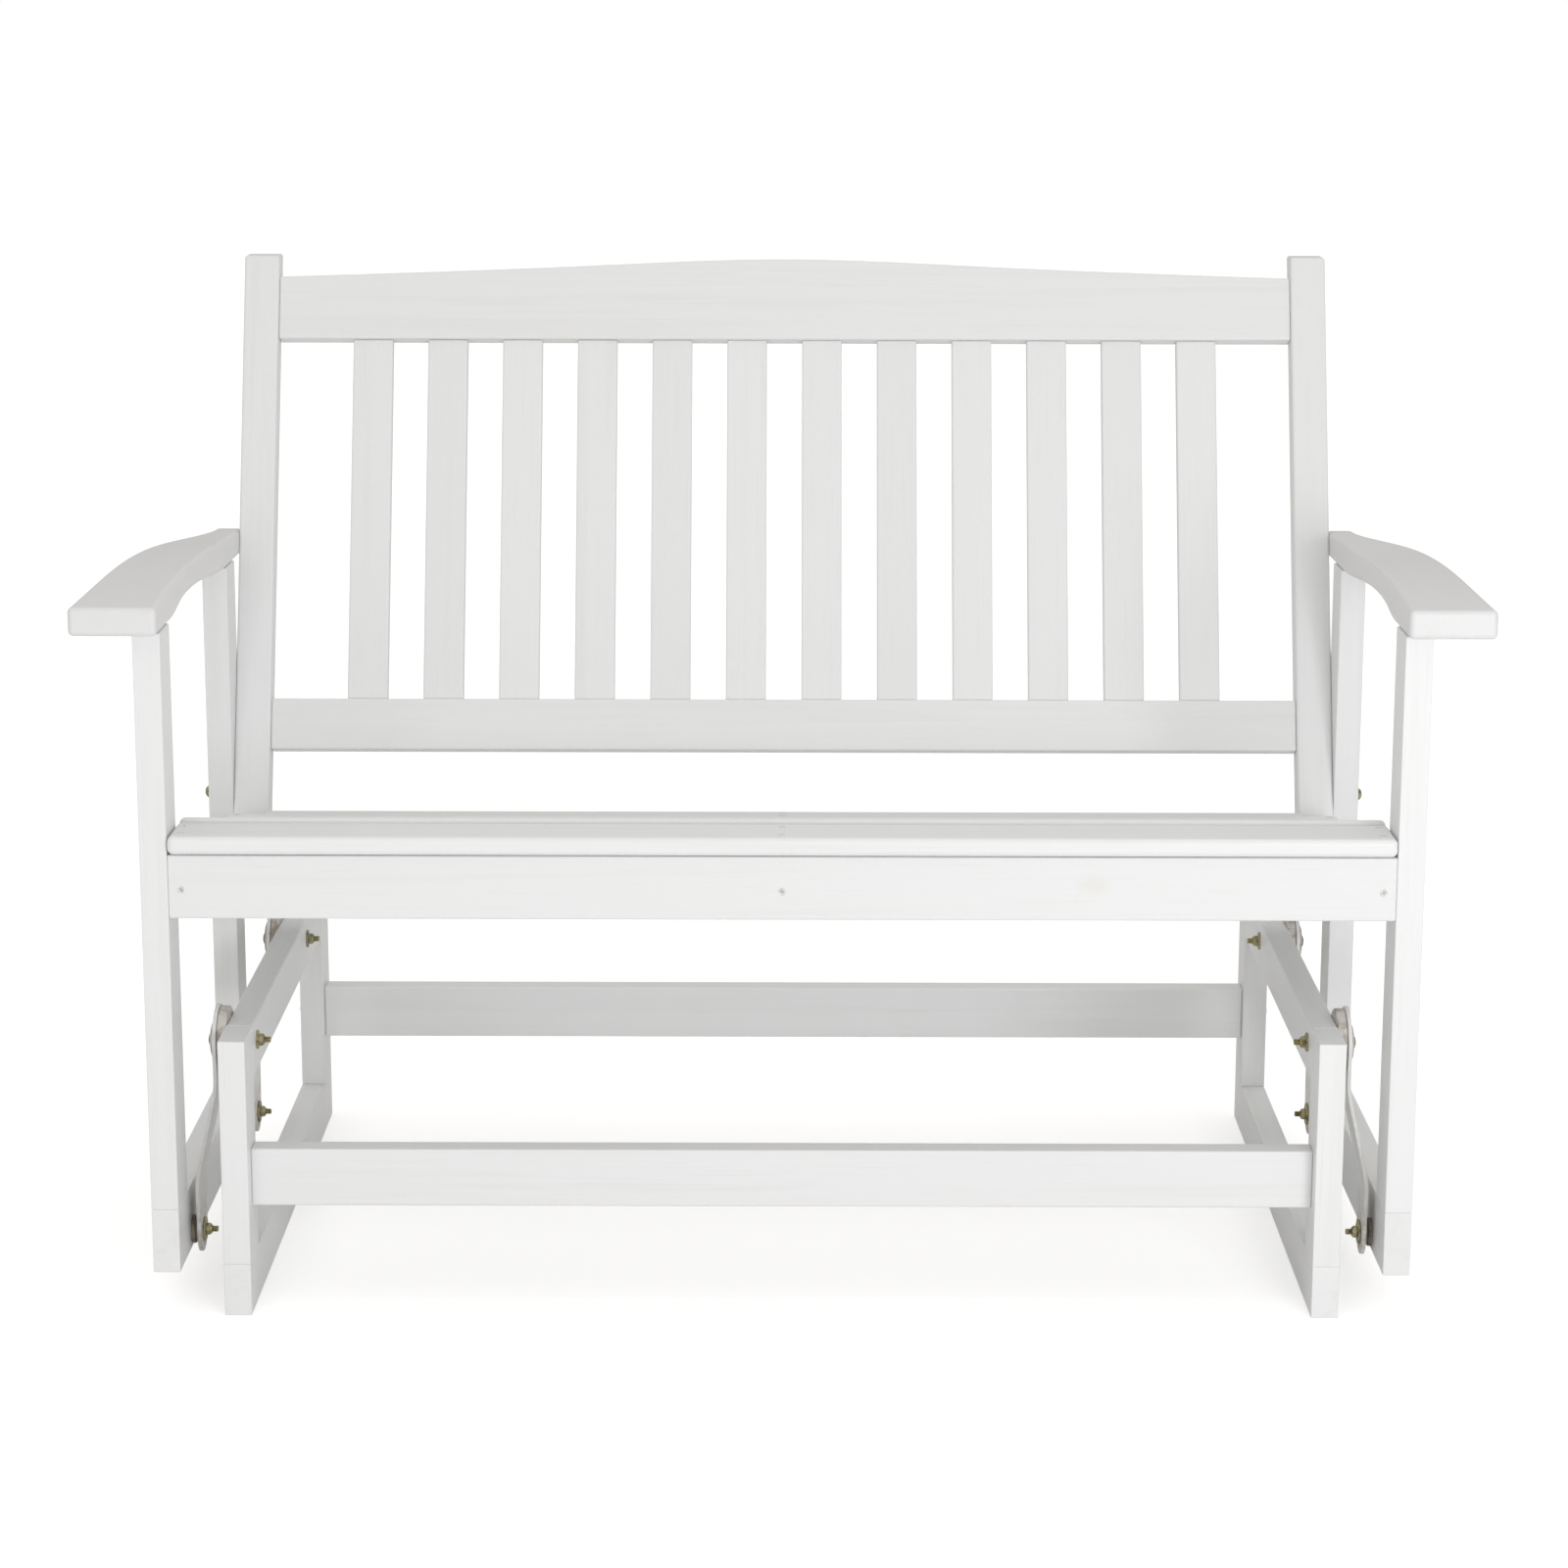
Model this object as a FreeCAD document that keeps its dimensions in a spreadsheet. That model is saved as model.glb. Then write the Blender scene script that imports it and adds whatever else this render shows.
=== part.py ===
import FreeCAD, Part

import math
import os

import Sketcher

# White wooden glider bench: a base of two side frames, four steel hanger links, and
# a slatted two-seat bench that swings fore and aft on them.
# X is across, Y runs from the front to the back, Z is up, in millimetres.
# The origin is on the floor under the middle of the bench's box. Heights and depths
# below are measured from the floor and from the front of the base.

doc = FreeCAD.newDocument("GliderBench")
sheet = doc.addObject("Spreadsheet::Sheet", "sizes")

SIZES = {
    "middle_y": 312.3,
    "stock": 25,
    "edge_round": 2,
    "joint_round": 1,
    "hole_play": 0.05,
    "blind_play": 1,
    "overcut": 1,
    # base
    "base_half": 519,
    "base_depth": 636,
    "base_height": 265,
    "base_rail_height": 50,
    "base_leg_depth": 55,
    "stretcher_height": 55,
    "stretcher_foot": 101,
    "stretcher_inset": 20,
    # side frames of the seat, each with two posts on a lower rail
    "side_inner": 560,
    "post_depth": 55,
    "front_post_y": 3,
    "rear_post_y": 418,
    "side_foot": 41,
    "side_rail_height": 61,
    # links and pivots
    "pivot_front_y": 82,
    "pivot_rear_y": 459,
    "pivot_top_z": 244,
    "pivot_low_z": 57,
    "link_thickness": 3.5,
    "link_top_radius": 34,
    "link_low_radius": 21,
    "link_bend_top": 205,
    "link_bend_low": 112,
    "link_gap": 0.3,
    "bolt_radius": 3,
    "bolt_head_radius": 7,
    "bolt_head_height": 3,
    "washer_radius": 9,
    "washer_thickness": 2,
    "nut_flats": 10,
    "nut_height": 5.5,
    "bolt_tail": 5.5,
    "top_spacer_radius": 32,
    "top_spacer_thickness": 8.7,
    "top_cover_radius": 18,
    "top_cover_thickness": 4.5,
    "low_disc_radius": 13.5,
    "low_disc_thickness": 4,
    "low_spacer_radius": 11.5,
    "low_spacer_thickness": 3,
    "low_washer_radius": 11.5,
    # seat
    "apron_foot": 381,
    "apron_height": 59.5,
    "slat_thickness": 17,
    "slat_width": 63,
    "slat_pitch": 71,
    "slat_front_y": -4,
    "slat_round": 5.5,
    "slat_end_gap": 1,
    "seat_front_z": 442,
    "slat_rise": 3.7,
    "seat_tilt": 16.2,
    "seat_tilt_step": 2.3,
    "notch_inset": 37,
    "notch_start": 26,
    "support_front_z": 383,
    "support_rear_z": 275,
    "support_step_y": 396,
    "support_step_z": 333,
    "support_rear_y": 472,
    "seat_rail_y": 404,
    "seat_rail_foot": 290,
    "screw_radius": 2,
    "screw_head_radius": 4.5,
    "screw_head_height": 1.2,
    "screw_length": 50,
    "screw_z": 408,
    "pilot_depth": 30,
    "screw_inset": 12,
    # arms, from front to back
    "arm_front_y": -15,
    "arm_crown_y": 155,
    "arm_mid_y": 345.5,
    "arm_rear_y": 536,
    "arm_front_top": 671,
    "arm_crown_top": 679,
    "arm_mid_top": 672.5,
    "arm_rear_top": 662,
    "arm_landing_z": 645,
    "arm_landing_end": 75,
    "arm_rise_y": 125,
    "arm_rise_z": 650.8,
    "arm_hollow_y": 178,
    "arm_hollow_z": 653.8,
    "arm_fall_y": 330,
    "arm_fall_z": 644.6,
    "rear_post_front_top": 638.8,
    "rear_post_rear_top": 638,
    "arm_front_width": 80,
    "arm_flank_width": 71.5,
    "arm_flank_y": 97,
    "arm_waist_width": 67.5,
    "arm_waist_y": 265,
    "arm_taper_width": 55.7,
    "arm_taper_y": 381,
    "arm_rear_width": 28,
    "arm_round": 5,
    "arm_bolt_y": 523,
    "arm_bolt_z": 651,
    "head_seat_radius": 8,
    "head_seat_depth": 1,
    # back
    "back_lean": 19.47,
    "back_foot_y": 400,
    "back_foot_z": 345,
    "stile_width": 36,
    "stile_depth": 30,
    "stile_length": 627,
    "stile_round": 3,
    "rail_tenon": 20,
    "rail_tenon_thickness": 10,
    "rail_tenon_height": 40,
    "back_rail_depth": 22,
    "back_rail_setback": 5,
    "low_rail_z": 111.4,
    "low_rail_height": 52.5,
    "top_rail_z": 540.9,
    "top_rail_end_height": 65.8,
    "top_rail_middle_height": 85.1,
    "back_slat_width": 41,
    "back_slat_thickness": 14,
    "back_slat_pitch": 77.5,
    "slat_tenon": 10,
    "slat_tenon_thickness": 8,
    "slat_tenon_width": 35,
    "tenon_play": 0.2,
    "back_bolt_y": 437,
    "back_bolt_z": 405,
    "back_head_height": 6,
    "blind_depth": 45,
    "stile_bolt_depth": 26,
}

for row, (alias, number) in enumerate(SIZES.items(), start=1):
    sheet.set(f"A{row}", alias)
    sheet.set(f"B{row}", str(number))
    sheet.setAlias(f"B{row}", alias)
doc.recompute()

SIDES = (("left", -1), ("right", 1))


def at(across, back, up, turn="rotation(vector(1; 0; 0); 0)"):
    """Place in the bench: depths are measured from the front of the base."""
    return f"placement(vector({across}; ({back}) - sizes.middle_y; {up}); {turn})"


def local(across, back, up, turn="rotation(vector(1; 0; 0); 0)"):
    """Place inside a piece, from that piece's own corner."""
    return f"placement(vector({across}; {back}; {up}); {turn})"


def leaning(across, back, up):
    """Place in the back frame, from the foot of its front plane, before it leans."""
    foot = at("0", "sizes.back_foot_y", "sizes.back_foot_z",
              "rotation(vector(1; 0; 0); -sizes.back_lean)")
    return f"{foot} * {local(across, back, up)}"


def low_x(sign, inner, thickness):
    """Lowest X of a board whose inner face stands this far from the middle."""
    return inner if sign > 0 else f"-({inner}) - ({thickness})"


def outward(sign):
    """Turns the local up direction outwards, to the left or to the right."""
    return f"rotation(vector(0; 1; 0); {90 * sign})"


def ease(body, radius):
    """Round every edge of the body's last feature."""
    solid = body.Tip
    doc.recompute()
    eased = body.newObject("PartDesign::Fillet", body.Name + "_eased")
    eased.Base = (solid, ["Edge1"])
    eased.UseAllEdges = True
    eased.setExpression("Radius", radius)
    doc.recompute()


def board(name, lengths, place, radius="sizes.edge_round"):
    """A planed board with eased edges: its three lengths, and its lowest corner."""
    body = doc.addObject("PartDesign::Body", name)
    block = body.newObject("PartDesign::AdditiveBox", name + "_block")
    for side, length in zip(("Length", "Width", "Height"), lengths):
        block.setExpression(side, length)
    body.setExpression("Placement", place)
    ease(body, radius)
    return body


def bind_outline(sketch, corners):
    """Draw a closed outline of straight edges, each corner bound to the sheet."""
    turns = [2 * math.pi * number / len(corners) for number in range(len(corners))]
    starts = [FreeCAD.Vector(100 * math.cos(turn), 100 * math.sin(turn), 0) for turn in turns]
    for number, start in enumerate(starts):
        sketch.addGeometry(Part.LineSegment(start, starts[(number + 1) % len(starts)]), False)
    for number in range(len(starts)):
        following = (number + 1) % len(starts)
        sketch.addConstraint(Sketcher.Constraint("Coincident", number, 2, following, 1))
    for number, (along, up) in enumerate(corners):
        for kind, amount in (("DistanceX", along), ("DistanceY", up)):
            index = sketch.addConstraint(Sketcher.Constraint(kind, number, 1, 10.0))
            sketch.setExpression(f"Constraints[{index}]", amount)


def side_board(name, corners, thickness, place, radius="sizes.edge_round"):
    """A board sawn to an outline seen from the side: corners are (depth, height)."""
    body = doc.addObject("PartDesign::Body", name)
    plane = [item for item in body.Origin.OriginFeatures if item.Role == "YZ_Plane"][0]
    sketch = body.newObject("Sketcher::SketchObject", name + "_outline")
    sketch.AttachmentSupport = (plane, [""])
    sketch.MapMode = "FlatFace"
    bind_outline(sketch, corners)
    pad = body.newObject("PartDesign::Pad", name + "_pad")
    pad.Profile = sketch
    pad.setExpression("Length", thickness)
    body.setExpression("Placement", place)
    ease(body, radius)
    return body


def drill(body, name, place, radius, depth):
    """A round hole from the given place, along the direction the place turns up to."""
    hole = body.newObject("PartDesign::SubtractiveCylinder", name)
    hole.setExpression("Radius", f"{radius} + sizes.hole_play")
    hole.setExpression("Height", depth)
    hole.setExpression("Placement", place)
    return hole


def cylinder(name, radius, height, place):
    """A round bar along its local up direction."""
    bar = doc.addObject("Part::Cylinder", name)
    bar.setExpression("Radius", radius)
    bar.setExpression("Height", height)
    bar.setExpression("Placement", place)
    return bar


def bolt(name, radius, length, head_radius, head_height, place):
    """A domed bolt whose head sits on the given place and whose shank runs inwards."""
    shank = cylinder(name + "_shank", radius, length, local("0", "0", f"-({length})"))
    ball = f"(({head_radius})^2 + ({head_height})^2) / (2 * ({head_height}))"
    dome = doc.addObject("Part::Sphere", name + "_dome")
    dome.setExpression("Radius", ball)
    dome.setExpression("Angle1", f"asin(1 - ({head_height}) / ({ball}))")
    dome.setExpression("Placement", local("0", "0", f"({head_height}) - ({ball})"))
    whole = doc.addObject("Part::Fuse", name)
    whole.Base = shank
    whole.Tool = dome
    whole.setExpression("Placement", place)
    return whole


def ring(name, radius, thickness, place):
    """A washer or spacer disc round a bolt."""
    disc = cylinder(name + "_disc", radius, thickness, local("0", "0", "0"))
    bore = cylinder(name + "_bore", "sizes.bolt_radius + sizes.hole_play",
                    f"({thickness}) + 2 * sizes.overcut", local("0", "0", "-sizes.overcut"))
    whole = doc.addObject("Part::Cut", name)
    whole.Base = disc
    whole.Tool = bore
    whole.setExpression("Placement", place)
    return whole


def nut(name, place):
    """A hexagon nut round a bolt."""
    block = doc.addObject("Part::Prism", name + "_block")
    block.Polygon = 6
    block.setExpression("Circumradius", "sizes.nut_flats / sqrt(3)")
    block.setExpression("Height", "sizes.nut_height")
    bore = cylinder(name + "_bore", "sizes.bolt_radius + sizes.hole_play",
                    "sizes.nut_height + 2 * sizes.overcut", local("0", "0", "-sizes.overcut"))
    whole = doc.addObject("Part::Cut", name)
    whole.Base = block
    whole.Tool = bore
    whole.setExpression("Placement", place)
    return whole


def group(name, solids):
    """Like fasteners kept together as one sub-part of separate solids."""
    whole = doc.addObject("Part::Compound", name)
    whole.Links = solids
    return whole


nodes = []

# Base: on each side a bottom rail on the floor, two legs on it, and a top rail
# between the legs that carries the upper pivots.
base_inner = "sizes.base_half - sizes.stock"
stretcher_middle_z = "sizes.stretcher_foot + sizes.stretcher_height / 2"
front_stretcher_y = "sizes.stretcher_inset"
rear_stretcher_y = "sizes.base_depth - sizes.stretcher_inset - sizes.stock"
for side, sign in SIDES:
    x = low_x(sign, base_inner, "sizes.stock")
    nodes.append(board(f"base_{side}_bottom_rail",
                       ("sizes.stock", "sizes.base_depth", "sizes.base_rail_height"),
                       at(x, "0", "0"), "sizes.joint_round"))
    leg_height = "sizes.base_height - sizes.base_rail_height"
    for end, leg_y, stretcher_y in (
            ("front", "0", front_stretcher_y),
            ("rear", "sizes.base_depth - sizes.base_leg_depth", rear_stretcher_y)):
        leg = board(f"base_{side}_{end}_leg",
                    ("sizes.stock", "sizes.base_leg_depth", leg_height),
                    at(x, leg_y, "sizes.base_rail_height"), "sizes.joint_round")
        drill(leg, f"base_{side}_{end}_leg_hole",
              local("-sizes.overcut", f"({stretcher_y}) + sizes.stock / 2 - ({leg_y})",
                    f"({stretcher_middle_z}) - sizes.base_rail_height", outward(1)),
              "sizes.bolt_radius", "sizes.stock + 2 * sizes.overcut")
        nodes.append(leg)
    top_rail = board(f"base_{side}_top_rail",
                     ("sizes.stock", "sizes.base_depth - 2 * sizes.base_leg_depth",
                      "sizes.base_rail_height"),
                     at(x, "sizes.base_leg_depth",
                        "sizes.base_height - sizes.base_rail_height"))
    for end in ("front", "rear"):
        drill(top_rail, f"base_{side}_{end}_pivot_hole",
              local("-sizes.overcut", f"sizes.pivot_{end}_y - sizes.base_leg_depth",
                    "sizes.pivot_top_z - sizes.base_height + sizes.base_rail_height",
                    outward(1)),
              "sizes.bolt_radius", "sizes.stock + 2 * sizes.overcut")
    nodes.append(top_rail)

# Stretchers between the side frames, each with a blind bolt hole in both ends.
for end, y in (("front", front_stretcher_y), ("rear", rear_stretcher_y)):
    stretcher = board(f"base_{end}_stretcher",
                      (f"2 * ({base_inner})", "sizes.stock", "sizes.stretcher_height"),
                      at(f"-({base_inner})", y, "sizes.stretcher_foot"))
    for side, sign in SIDES:
        hole_x = "-sizes.overcut" if sign < 0 else f"2 * ({base_inner}) + sizes.overcut"
        drill(stretcher, f"base_{end}_stretcher_{side}_hole",
              local(hole_x, "sizes.stock / 2", "sizes.stretcher_height / 2", outward(-sign)),
              "sizes.bolt_radius",
              "sizes.blind_depth + sizes.blind_play + sizes.overcut")
    nodes.append(stretcher)

stretcher_bolts = []
for side, sign in SIDES:
    for end, y in (("front", front_stretcher_y), ("rear", rear_stretcher_y)):
        stretcher_bolts.append(bolt(
            f"stretcher_bolt_{side}_{end}", "sizes.bolt_radius",
            "sizes.stock + sizes.blind_depth", "sizes.bolt_head_radius",
            "sizes.bolt_head_height",
            at(f"{sign} * sizes.base_half", f"({y}) + sizes.stock / 2",
               stretcher_middle_z, outward(sign))))
nodes.append(group("base_stretcher_bolts", stretcher_bolts))

# Upper pivots, from the inside out: nut, washer, top rail, spacer, link, cover, head.
top_link_x = "sizes.base_half + sizes.top_spacer_thickness + sizes.link_gap"
top_cover_x = f"{top_link_x} + sizes.link_thickness + sizes.link_gap"
top_head_x = f"{top_cover_x} + sizes.top_cover_thickness"
top_nut_x = f"{base_inner} - sizes.washer_thickness"
top_bolts, top_spacers, top_washers, top_nuts = [], [], [], []
for side, sign in SIDES:
    for end in ("front", "rear"):
        y, z = f"sizes.pivot_{end}_y", "sizes.pivot_top_z"
        tail_x = f"{top_nut_x} - sizes.nut_height - sizes.bolt_tail"
        top_bolts.append(bolt(
            f"upper_bolt_{side}_{end}", "sizes.bolt_radius", f"{top_head_x} - ({tail_x})",
            "sizes.bolt_head_radius", "sizes.bolt_head_height",
            at(f"{sign} * ({top_head_x})", y, z, outward(sign))))
        top_spacers.append(ring(
            f"upper_spacer_{side}_{end}", "sizes.top_spacer_radius",
            "sizes.top_spacer_thickness",
            at(f"{sign} * sizes.base_half", y, z, outward(sign))))
        top_spacers.append(ring(
            f"upper_cover_{side}_{end}", "sizes.top_cover_radius",
            "sizes.top_cover_thickness",
            at(f"{sign} * ({top_cover_x})", y, z, outward(sign))))
        top_washers.append(ring(
            f"upper_washer_{side}_{end}", "sizes.washer_radius", "sizes.washer_thickness",
            at(f"{sign} * ({base_inner})", y, z, outward(-sign))))
        top_nuts.append(nut(
            f"upper_nut_{side}_{end}",
            at(f"{sign} * ({top_nut_x})", y, z, outward(-sign))))
nodes.append(group("upper_pivot_bolts", top_bolts))
nodes.append(group("upper_pivot_spacers", top_spacers))
nodes.append(group("upper_pivot_washers", top_washers))
nodes.append(group("upper_pivot_nuts", top_nuts))

# Lower pivots, from the outside in: head, lower rail, disc, spacer, link, washer, nut.
low_spacer_x = "sizes.side_inner - sizes.low_disc_thickness"
low_link_outer_x = f"{low_spacer_x} - sizes.low_spacer_thickness - sizes.link_gap"
low_link_inner_x = f"{low_link_outer_x} - sizes.link_thickness"
low_washer_x = f"{low_link_inner_x} - sizes.link_gap"
low_nut_x = f"{low_washer_x} - sizes.washer_thickness"
low_tail_x = f"{low_nut_x} - sizes.nut_height - sizes.bolt_tail"
low_head_x = "sizes.side_inner + sizes.stock"
low_bolts, low_spacers, low_washers, low_nuts = [], [], [], []
for side, sign in SIDES:
    for end in ("front", "rear"):
        y, z = f"sizes.pivot_{end}_y", "sizes.pivot_low_z"
        low_bolts.append(bolt(
            f"lower_bolt_{side}_{end}", "sizes.bolt_radius", f"{low_head_x} - ({low_tail_x})",
            "sizes.bolt_head_radius", "sizes.bolt_head_height",
            at(f"{sign} * ({low_head_x})", y, z, outward(sign))))
        low_spacers.append(ring(
            f"lower_disc_{side}_{end}", "sizes.low_disc_radius", "sizes.low_disc_thickness",
            at(f"{sign} * sizes.side_inner", y, z, outward(-sign))))
        low_spacers.append(ring(
            f"lower_spacer_{side}_{end}", "sizes.low_spacer_radius",
            "sizes.low_spacer_thickness",
            at(f"{sign} * ({low_spacer_x})", y, z, outward(-sign))))
        low_washers.append(ring(
            f"lower_washer_{side}_{end}", "sizes.low_washer_radius", "sizes.washer_thickness",
            at(f"{sign} * ({low_washer_x})", y, z, outward(-sign))))
        low_nuts.append(nut(
            f"lower_nut_{side}_{end}",
            at(f"{sign} * ({low_nut_x})", y, z, outward(-sign))))
nodes.append(group("lower_pivot_bolts", low_bolts))
nodes.append(group("lower_pivot_spacers", low_spacers))
nodes.append(group("lower_pivot_washers", low_washers))
nodes.append(group("lower_pivot_nuts", low_nuts))


def link_outline(name):
    """Teardrop outline seen from the side, round both pivots, with its two holes."""
    sketch = doc.addObject("Sketcher::SketchObject", name)
    length = SIZES["pivot_top_z"] - SIZES["pivot_low_z"]
    big, small = SIZES["link_top_radius"], SIZES["link_low_radius"]
    slant = math.asin((big - small) / length)
    top, low = FreeCAD.Vector(0, 0, 0), FreeCAD.Vector(0, -length, 0)
    right = FreeCAD.Vector(math.cos(slant), -math.sin(slant), 0)
    left = FreeCAD.Vector(-math.cos(slant), -math.sin(slant), 0)
    up, down = FreeCAD.Vector(0, 1, 0), FreeCAD.Vector(0, -1, 0)
    sketch.addGeometry(Part.Arc(top + right * big, top + up * big, top + left * big), False)
    sketch.addGeometry(Part.LineSegment(top + left * big, low + left * small), False)
    sketch.addGeometry(Part.Arc(low + left * small, low + down * small, low + right * small),
                       False)
    sketch.addGeometry(Part.LineSegment(low + right * small, top + right * big), False)
    for first, second in ((0, 1), (1, 2), (2, 3), (3, 0)):
        sketch.addConstraint(Sketcher.Constraint("Tangent", first, 2, second, 1))
    hole = SIZES["bolt_radius"] + SIZES["hole_play"]
    for centre in (top, low):
        sketch.addGeometry(Part.Circle(centre, FreeCAD.Vector(0, 0, 1), hole), False)
    sketch.addConstraint(Sketcher.Constraint("Coincident", 0, 3, -1, 1))
    sketch.addConstraint(Sketcher.Constraint("Coincident", 4, 3, -1, 1))
    sketch.addConstraint(Sketcher.Constraint("Coincident", 5, 3, 2, 3))
    sketch.addConstraint(Sketcher.Constraint("PointOnObject", 2, 3, -2))
    for item, radius, start in ((0, "sizes.link_top_radius", big),
                                (2, "sizes.link_low_radius", small),
                                (4, "sizes.bolt_radius + sizes.hole_play", hole),
                                (5, "sizes.bolt_radius + sizes.hole_play", hole)):
        index = sketch.addConstraint(Sketcher.Constraint("Radius", item, start))
        sketch.setExpression(f"Constraints[{index}]", radius)
    index = sketch.addConstraint(Sketcher.Constraint("DistanceY", 2, 3, 0, 3, length))
    sketch.setExpression(f"Constraints[{index}]", "sizes.pivot_top_z - sizes.pivot_low_z")
    return sketch


def extrude(name, sketch, direction, length):
    """Solid of a sketch drawn out to both sides of its plane."""
    solid = doc.addObject("Part::Extrusion", name)
    solid.Base = sketch
    solid.DirMode = "Custom"
    solid.Dir = direction
    solid.Symmetric = True
    solid.Solid = True
    solid.setExpression("LengthFwd", length)
    return solid


# Hanger links: flat plates hung from the upper pivots. Each is cranked outwards on
# its way down, from beside the base's rail to beside the seat's side frame.
SIDE_VIEW = FreeCAD.Rotation(FreeCAD.Vector(1, 1, 1), 120)
FRONT_VIEW = FreeCAD.Rotation(FreeCAD.Vector(1, 0, 0), 90)
outline = link_outline("link_outline")
outline.Placement = FreeCAD.Placement(FreeCAD.Vector(), SIDE_VIEW)
plate = extrude("link_plate", outline, FreeCAD.Vector(1, 0, 0), "2 * sizes.side_inner")
for side, sign in SIDES:
    crank = doc.addObject("Sketcher::SketchObject", f"link_crank_{side}")
    crank.Placement = FreeCAD.Placement(FreeCAD.Vector(), FRONT_VIEW)
    reach = "2 * sizes.pivot_top_z"
    bend_top = "sizes.link_bend_top - sizes.pivot_top_z"
    bend_low = "sizes.link_bend_low - sizes.pivot_top_z"
    inner, outer = top_link_x, low_link_inner_x
    corners = [(inner, reach), (inner, bend_top), (outer, bend_low), (outer, f"-({reach})")]
    corners += [(f"{along} + sizes.link_thickness", up) for along, up in reversed(corners)]
    bind_outline(crank, [(f"{sign} * ({along})", up) for along, up in corners])
    cranked = extrude(f"link_fold_{side}", crank, FreeCAD.Vector(0, 1, 0),
                      "4 * sizes.link_top_radius")
    for end in ("front", "rear"):
        link = doc.addObject("Part::Common", f"link_{end}_{side}")
        link.Base = plate
        link.Tool = cranked
        link.setExpression("Placement", at("0", f"sizes.pivot_{end}_y", "sizes.pivot_top_z"))
        nodes.append(link)

# Side frames of the seat: a lower rail with a front post and a rear post standing on
# its ends. The rear post's top is cut to the slope of the arm's underside.
post_foot = "(sizes.side_foot + sizes.side_rail_height)"
for side, sign in SIDES:
    x = low_x(sign, "sizes.side_inner", "sizes.stock")
    rail = board(f"seat_{side}_lower_rail",
                 ("sizes.stock", "sizes.rear_post_y + sizes.post_depth - sizes.front_post_y",
                  "sizes.side_rail_height"),
                 at(x, "sizes.front_post_y", "sizes.side_foot"), "sizes.joint_round")
    for end in ("front", "rear"):
        drill(rail, f"seat_{side}_{end}_pivot_hole",
              local("-sizes.overcut", f"sizes.pivot_{end}_y - sizes.front_post_y",
                    "sizes.pivot_low_z - sizes.side_foot", outward(1)),
              "sizes.bolt_radius", "sizes.stock + 2 * sizes.overcut")
    nodes.append(rail)
    nodes.append(board(f"seat_{side}_front_post",
                       ("sizes.stock", "sizes.post_depth", f"sizes.arm_landing_z - {post_foot}"),
                       at(x, "sizes.front_post_y", post_foot), "sizes.joint_round"))
    rear_post = side_board(
        f"seat_{side}_rear_post",
        [("0", "0"), ("sizes.post_depth", "0"),
         ("sizes.post_depth", f"sizes.rear_post_rear_top - {post_foot}"),
         ("0", f"sizes.rear_post_front_top - {post_foot}")],
        "sizes.stock", at(x, "sizes.rear_post_y", post_foot), "sizes.joint_round")
    drill(rear_post, f"seat_{side}_back_hole",
          local("-sizes.overcut", "sizes.back_bolt_y - sizes.rear_post_y",
                f"sizes.back_bolt_z - {post_foot}", outward(1)),
          "sizes.bolt_radius", "sizes.stock + 2 * sizes.overcut")
    nodes.append(rear_post)

# Apron across the front, screwed to the front ends of the three seat supports.
into_front = "rotation(vector(1; 0; 0); -90)"
screw_xs = ("-sizes.side_inner + sizes.screw_inset", "0", "sizes.side_inner - sizes.screw_inset")
apron = board("seat_apron", ("2 * sizes.side_inner", "sizes.stock", "sizes.apron_height"),
              at("-sizes.side_inner", "sizes.front_post_y", "sizes.apron_foot"))
apron_screws = []
for number, x in enumerate(screw_xs, start=1):
    drill(apron, f"apron_hole_{number}",
          local(f"{x} + sizes.side_inner", "-sizes.overcut",
                "sizes.screw_z - sizes.apron_foot", into_front),
          "sizes.screw_radius", "sizes.stock + 2 * sizes.overcut")
    apron_screws.append(bolt(
        f"apron_screw_{number}", "sizes.screw_radius", "sizes.screw_length",
        "sizes.screw_head_radius", "sizes.screw_head_height",
        at(x, "sizes.front_post_y", "sizes.screw_z", "rotation(vector(1; 0; 0); 90)")))
nodes.append(apron)
nodes.append(group("apron_screws", apron_screws))


def facet_tilt(number):
    """Backward tilt of a seat slat: the first is level, the second steepest."""
    return f"(sizes.seat_tilt - {number - 2} * sizes.seat_tilt_step)"


def facet_start(number):
    """Depth and height where the flat under this seat slat begins, from the second on."""
    if number == 2:
        return "(sizes.slat_front_y + (sizes.slat_width + sizes.slat_pitch) / 2)", \
            "(sizes.seat_front_z + sizes.slat_rise)"
    back, up = facet_start(number - 1)
    tilt = facet_tilt(number - 1)
    return f"({back} + sizes.slat_pitch * cos({tilt}))", \
        f"({up} - sizes.slat_pitch * sin({tilt}))"


# Seat supports: three boards on edge, sawn on top to a flat for each slat, the first
# flat a little lower than the next. The outer two run on under the feet of the back,
# and the middle one ends at the seat rail.
support_front_y = "(sizes.front_post_y + sizes.stock)"
last_y, last_z = facet_start(6)
step_z = f"{last_z} - tan({facet_tilt(6)}) * (sizes.support_step_y - {last_y})"
support_top = [("sizes.support_step_y", "sizes.support_step_z"), ("sizes.support_step_y", step_z)]
support_top += [facet_start(number) for number in (6, 5, 4, 3, 2)]
support_top += [(facet_start(2)[0], "sizes.seat_front_z"),
                (support_front_y, "sizes.seat_front_z")]
supports = (
    ("left", "-sizes.side_inner", "sizes.support_rear_y", "sizes.support_rear_z"),
    ("centre", "-sizes.stock / 2", "sizes.seat_rail_y", "sizes.seat_rail_foot"),
    ("right", "sizes.side_inner - sizes.stock", "sizes.support_rear_y", "sizes.support_rear_z"),
)
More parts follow.
